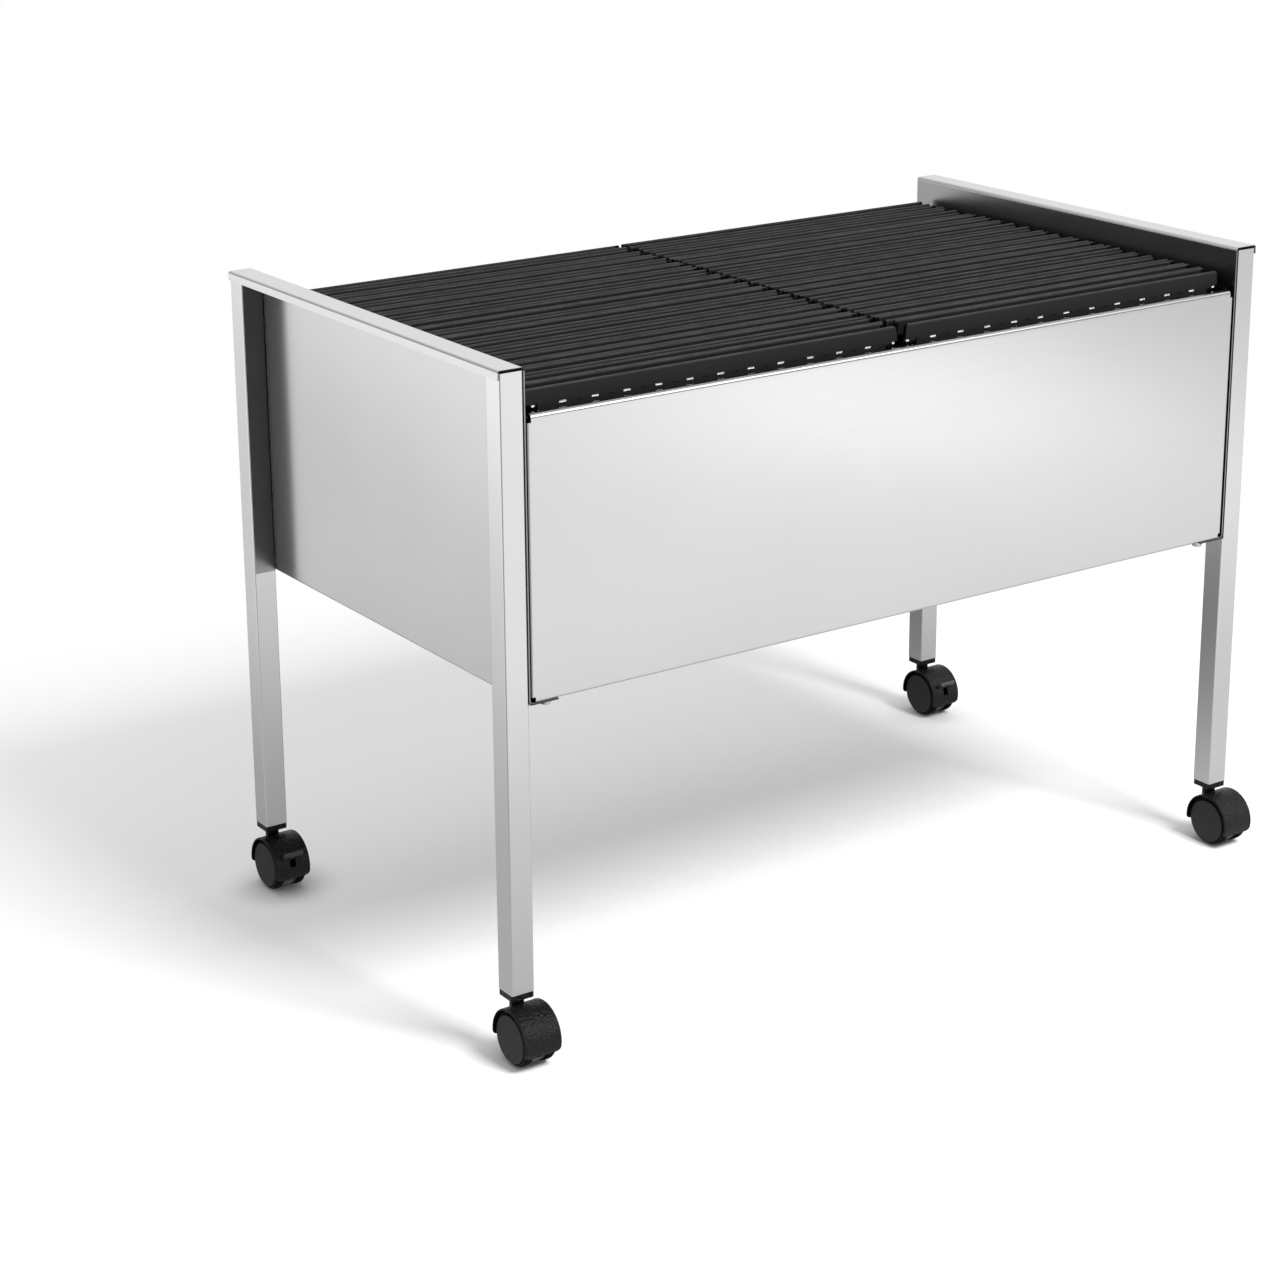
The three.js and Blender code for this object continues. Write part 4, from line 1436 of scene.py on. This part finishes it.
def make_brake(corner):
    """A tongue on a pivot with a wide foot tab, grooved for grip."""
    start = tongue_reach(TAB_START)

    def strip(low, high, bottom, top):
        places = ((low, bottom), (high, bottom), (high, top), (low, top))
        return [from_pivot(corner, BRAKE_REST, along, across) for along, across in places]

    tab = rounded_outline(strip(start, start + TAB_LENGTH, -TAB_HALF, TAB_HALF), TAB_ROUND)
    brake = castor_prism(f"{corner}_brake_lever", corner, tab, TAB_WIDE)
    for count in range(GROOVES):
        along = start + GROOVE_FIRST + GROOVE_PITCH * count
        groove = strip(along - GROOVE_HALF, along + GROOVE_HALF, GROOVE_FLOOR, GROOVE_TOP)
        combine(brake, castor_prism("groove", corner, groove, TAB_WIDE - GROOVE_MARGIN), "DIFFERENCE")
    tongue = strip(0.0, start + TONGUE_LAP, -TONGUE_HALF, TONGUE_HALF)
    pivot = circle(brake_pivot(corner), PIVOT_RADIUS, 24)
    for name, outline in (("tongue", tongue), ("pivot", pivot)):
        combine(brake, castor_prism(name, corner, outline, TONGUE_WIDE), "UNION")
    soften(paint(brake, "Moulded black lever"), LEVER_EDGE)
    dress(brake, f"{corner}_brake", "plastic", f"{corner}_castor_brake")


# Studio

WHITE = (1, 1, 1, 1)
SENSOR_WIDTH = 36.0
FLOOR_REACH = 14.0
FLOOR_CELLS = 14

# Share of its brightness that the reflection of a reflection keeps
AGAIN_SHARE = 0.06

# Patches on the mirrored floor: the middle, how far it reaches, and how much lighter or darker it is
LIT_PATCH = ((1.13, -1.68, 0.0), 0.66, 0.6)
DIM_PATCH = ((-0.02, 0.42, 0.0), 1.0, 0.52)
FRONT_LEFT_LEVEL = 0.36

# How much of the floor turns to plain white near the cart, and the shadowed ring round each castor
NEAR_WHITE = 0.38
FOOT_SHADOW = 0.06

# Where the key light is mirrored in the world, and where a lamp is: its size, its place, what it points at
KEY_DIRECTION = (0.36, -0.72, 0.6)
KEY_LAMP = ((1.15, 1.15), (0.55, -2.6, 3.2), (0, 0, 0.1))
OVERHEAD_LAMP = ((2.6, 2.2), (0.2, 0.4, 3.0), (0, 0, 0.3))


def pool(build, place, middle, reach, level):
    """A soft round patch of brightness on the floor."""
    away = build.vector("DISTANCE", place, middle).outputs["Value"]
    return build.span(away, 0.0, reach, level, 0.0, smooth=True)


def mirrored_floor(build, place):
    """How bright the floor looks in the steel.

    It is lit at the front right and far back left, and dim under the cart and at the front left."""
    along = build.split_axes(place)
    backwards = build.vector("DOT_PRODUCT", place, (-1.85, -0.45, 0.0)).outputs["Value"]
    level = build.span(backwards, 1.45, 2.02, 0.68, 1.14)
    leftwards = build.span(along["X"], 1.9, 1.2, 0.0, 0.24, smooth=True)
    forwards = build.span(along["Y"], -0.5, -1.0, 0.0, 1.0, smooth=True)
    level = build.math("MULTIPLY_ADD", leftwards, forwards, level)
    level = build.math("ADD", level, pool(build, place, *LIT_PATCH))
    level = build.math("SUBTRACT", level, pool(build, place, *DIM_PATCH))
    in_front = build.span(along["Y"], 0.5, -0.3, 0.0, 1.0, smooth=True)
    at_left = build.span(along["X"], 0.0, -0.9, 0.0, 1.0, smooth=True)
    front_left = build.math("MULTIPLY", in_front, at_left)
    return build.math("MULTIPLY_ADD", build.math("SUBTRACT", FRONT_LEFT_LEVEL, level), front_left, level)


def dimmed(build, path, level):
    """A reflection's brightness, much lower where it is the reflection of a reflection."""
    again = build.math("GREATER_THAN", path["Glossy Depth"], 1.5)
    return build.math("MULTIPLY", level, build.math("MULTIPLY_ADD", again, AGAIN_SHARE - 1.0, 1.0))


def mirrored(build, path):
    """Whether a ray comes from a reflection or through glass."""
    return build.math("ADD", path["Is Glossy Ray"], path["Is Transmission Ray"], clamp=True)


def either(build, share, first, second):
    """One shader or another."""
    inputs = {0: share, 1: first.outputs[0], 2: second.outputs[0]}
    return build.node("ShaderNodeMixShader", inputs)


def make_floor():
    """A wide pale floor that takes the cart's shadow and turns to plain white further off."""
    bm = bmesh.new()
    bmesh.ops.create_grid(bm, x_segments=FLOOR_CELLS, y_segments=FLOOR_CELLS, size=FLOOR_REACH)
    floor = new_object(bm, "studio_floor")
    made = bpy.data.materials.new("Studio floor")
    made.use_nodes = True
    made.node_tree.nodes.clear()
    build = NodeBuilder(made.node_tree)
    place = build.object_place()
    away = build.vector("LENGTH", place).outputs["Value"]
    grain = build.noise(place, 30.0, 3.0)
    tone = build.mix(grain, rgba(studio().floor, 0.985), rgba(studio().floor, 1.015))
    matt = build.node("ShaderNodeBsdfDiffuse", {"Color": tone})
    path = build.node("ShaderNodeLightPath").outputs
    plain_share = build.span(away, 0.5, 1.3, NEAR_WHITE, 1.0, smooth=True)
    for corner in CORNERS:
        foot = castor_centre(corner)
        shadow = pool(build, place, (foot.x, foot.y, 0.0), FOOT_SHADOW, 1.0)
        plain_share = build.math("MULTIPLY", plain_share, build.math("SUBTRACT", 1.0, shadow))
    seen = build.math("MULTIPLY", path["Is Camera Ray"], plain_share)
    plain = build.node("ShaderNodeEmission", {"Color": WHITE, "Strength": 1.0})
    for_camera = either(build, seen, matt, plain)
    level = dimmed(build, path, mirrored_floor(build, place))
    mirror = build.node("ShaderNodeEmission", {"Color": WHITE, "Strength": level})
    surface = either(build, mirrored(build, path), for_camera, mirror)
    build.node("ShaderNodeOutputMaterial", {"Surface": surface.outputs[0]})
    floor.data.materials.append(made)


def make_world():
    """White to the camera, with soft light from all round.

    Reflections see a pale back, a lit front and a dim rest."""
    world = bpy.data.worlds.new("Studio")
    bpy.context.scene.world = world
    world.use_nodes = True
    world.node_tree.nodes.clear()
    build = NodeBuilder(world.node_tree)
    path = build.node("ShaderNodeLightPath").outputs
    direction = build.node("ShaderNodeTexCoord").outputs["Generated"]
    backwards = build.vector("DOT_PRODUCT", direction, (0.8, 0.6, 0.0)).outputs["Value"]
    horizon = build.span(backwards, 0.1, 0.6, 0.26, 0.78, smooth=True)
    rise = build.span(build.split_axes(direction)["Z"], 0.3, 0.55, 0.0, 1.0, smooth=True)
    level = build.math("MULTIPLY_ADD", build.math("SUBTRACT", 0.45, horizon), rise, horizon)
    off_key = build.vector("DISTANCE", direction, KEY_DIRECTION).outputs["Value"]
    level = build.math("ADD", level, build.span(off_key, 0.15, 0.5, 2.6, 0.0, smooth=True))
    level = dimmed(build, path, level)
    strengths = (studio().ambient, level, 1.0)
    around, mirror, plain = (
        build.node("ShaderNodeBackground", {"Color": WHITE, "Strength": strength}) for strength in strengths
    )
    lit = either(build, mirrored(build, path), around, mirror)
    seen = either(build, path["Is Camera Ray"], lit, plain)
    build.node("ShaderNodeOutputWorld", {"Surface": seen.outputs[0]})


def make_lamp(name, power, size, place, target):
    """A soft rectangular lamp that no reflection shows."""
    lamp = bpy.data.lights.new(name, "AREA")
    lamp.shape = "RECTANGLE"
    lamp.size, lamp.size_y = size
    lamp.energy = power
    obj = bpy.data.objects.new(name, lamp)
    obj.location = place
    obj.rotation_euler = (Vector(target) - Vector(place)).to_track_quat("-Z", "Y").to_euler()
    obj.visible_glossy = False
    bpy.context.scene.collection.objects.link(obj)


def make_camera():
    camera = bpy.data.cameras.new("Camera")
    camera.lens = studio().lens
    camera.sensor_width = SENSOR_WIDTH
    camera.shift_y = studio().shift
    obj = bpy.data.objects.new("Camera", camera)
    bpy.context.scene.collection.objects.link(obj)
    a, e = studio().azimuth, studio().elevation
    back = Vector((math.sin(a) * math.cos(e), -math.cos(a) * math.cos(e), math.sin(e)))
    aim = (-back).to_track_quat("-Z", "Y")
    obj.rotation_mode = "QUATERNION"
    obj.rotation_quaternion = aim @ Quaternion((0.0, 0.0, 1.0), studio().roll)
    obj.location = studio().place
    bpy.context.scene.camera = obj


# Operators


class FILECART_OT_stage(bpy.types.Operator):
    """Makes the camera, lamps, floor and world"""

    bl_idname = "filecart.stage"
    bl_label = "Studio"

    def execute(self, context):
        context.scene.view_settings.view_transform = "Standard"
        make_camera()
        make_world()
        make_floor()
        make_lamp("Key", studio().key, *KEY_LAMP)
        make_lamp("Overhead", studio().overhead, *OVERHEAD_LAMP)
        return {"FINISHED"}


class FILECART_OT_posts(bpy.types.Operator):
    """Makes the four square posts and finishes the plugs in their feet"""

    bl_idname = "filecart.posts"
    bl_label = "Posts"

    def execute(self, context):
        for corner in CORNERS:
            make_post(corner)
            dress_node(f"{corner}_post_plug", "Moulded black plastic", PLUG_EDGE)
        return {"FINISHED"}


class FILECART_OT_end_panels(bpy.types.Operator):
    """Makes the two end panels, folded over the posts"""

    bl_idname = "filecart.end_panels"
    bl_label = "End panels"

    def execute(self, context):
        for side_name in SIDES:
            make_end_panel(side_name)
        return {"FINISHED"}


class FILECART_OT_long_panels(bpy.types.Operator):
    """Makes the front and back panels with their folded edges"""

    bl_idname = "filecart.long_panels"
    bl_label = "Long panels"

    def execute(self, context):
        for end_name in ENDS:
            make_long_panel(end_name)
        return {"FINISHED"}


class FILECART_OT_rails(bpy.types.Operator):
    """Finishes the rails that the files hang from"""

    bl_idname = "filecart.rails"
    bl_label = "Rails"

    def execute(self, context):
        for node in ("left_rail", "right_rail", "centre_rail"):
            dress_node(node, "Satin steel panel", RAIL_EDGE)
        return {"FINISHED"}


class FILECART_OT_bolts(bpy.types.Operator):
    """Makes the bolts under the panels' corners"""

    bl_idname = "filecart.bolts"
    bl_label = "Bolts"

    def execute(self, context):
        for corner in CORNERS:
            make_bolt(corner)
        return {"FINISHED"}


class FILECART_OT_front_files(bpy.types.Operator):
    """Makes the front file of each column, with its tab slots and hanger bars"""

    bl_idname = "filecart.front_files"
    bl_label = "Front files"

    def execute(self, context):
        for side_name in SIDES:
            make_front_file(side_name)
        return {"FINISHED"}


class FILECART_OT_file_rows(bpy.types.Operator):
    """Makes the other files of each column"""

    bl_idname = "filecart.file_rows"
    bl_label = "File rows"

    def execute(self, context):
        for side_name in SIDES:
            make_file_row(side_name)
        return {"FINISHED"}


class FILECART_OT_castors(bpy.types.Operator):
    """Makes the castors' hoods and wheels and finishes their pins"""

    bl_idname = "filecart.castors"
    bl_label = "Castors"

    def execute(self, context):
        for corner, (_, end) in CORNERS.items():
            make_hood(corner, end > 0)
            for side_name in SIDES:
                make_wheel(corner, side_name)
            for pin in ("stem", "axle"):
                dress_node(f"{corner}_castor_{pin}", "Plated steel")
        return {"FINISHED"}


class FILECART_OT_brakes(bpy.types.Operator):
    """Makes the foot brakes of the back castors"""

    bl_idname = "filecart.brakes"
    bl_label = "Brakes"

    def execute(self, context):
        for corner, (_, end) in CORNERS.items():
            if end > 0:
                make_brake(corner)
        return {"FINISHED"}


OPERATORS = (
    FILECART_OT_stage,
    FILECART_OT_posts,
    FILECART_OT_end_panels,
    FILECART_OT_long_panels,
    FILECART_OT_rails,
    FILECART_OT_bolts,
    FILECART_OT_front_files,
    FILECART_OT_file_rows,
    FILECART_OT_castors,
    FILECART_OT_brakes,
)


class FILECART_PT_sidebar(bpy.types.Panel):
    """Lists the cart's pieces and settings"""

    bl_idname = "FILECART_PT_sidebar"
    bl_label = "File Cart"
    bl_space_type = "VIEW_3D"
    bl_region_type = "UI"
    bl_category = "File Cart"

    def draw(self, context):
        for operator in OPERATORS:
            self.layout.operator(operator.bl_idname)
        for group in (sizes(), finishes(), studio()):
            box = self.layout.box()
            for name in group.__annotations__:
                box.prop(group, name)


CLASSES = (FileCartSizes, FileCartFinishes, FileCartStudio, *OPERATORS, FILECART_PT_sidebar)


def register():
    for cls in CLASSES:
        bpy.utils.register_class(cls)
    bpy.types.Scene.file_cart_sizes = bpy.props.PointerProperty(type=FileCartSizes)
    bpy.types.Scene.file_cart_finishes = bpy.props.PointerProperty(type=FileCartFinishes)
    bpy.types.Scene.file_cart_studio = bpy.props.PointerProperty(type=FileCartStudio)


def unregister():
    del bpy.types.Scene.file_cart_studio
    del bpy.types.Scene.file_cart_finishes
    del bpy.types.Scene.file_cart_sizes
    for cls in reversed(CLASSES):
        bpy.utils.unregister_class(cls)


def main():
    register()
    for operator in OPERATORS:
        family, name = operator.bl_idname.split(".")
        getattr(getattr(bpy.ops, family), name)()


if __name__ == "__main__":
    main()
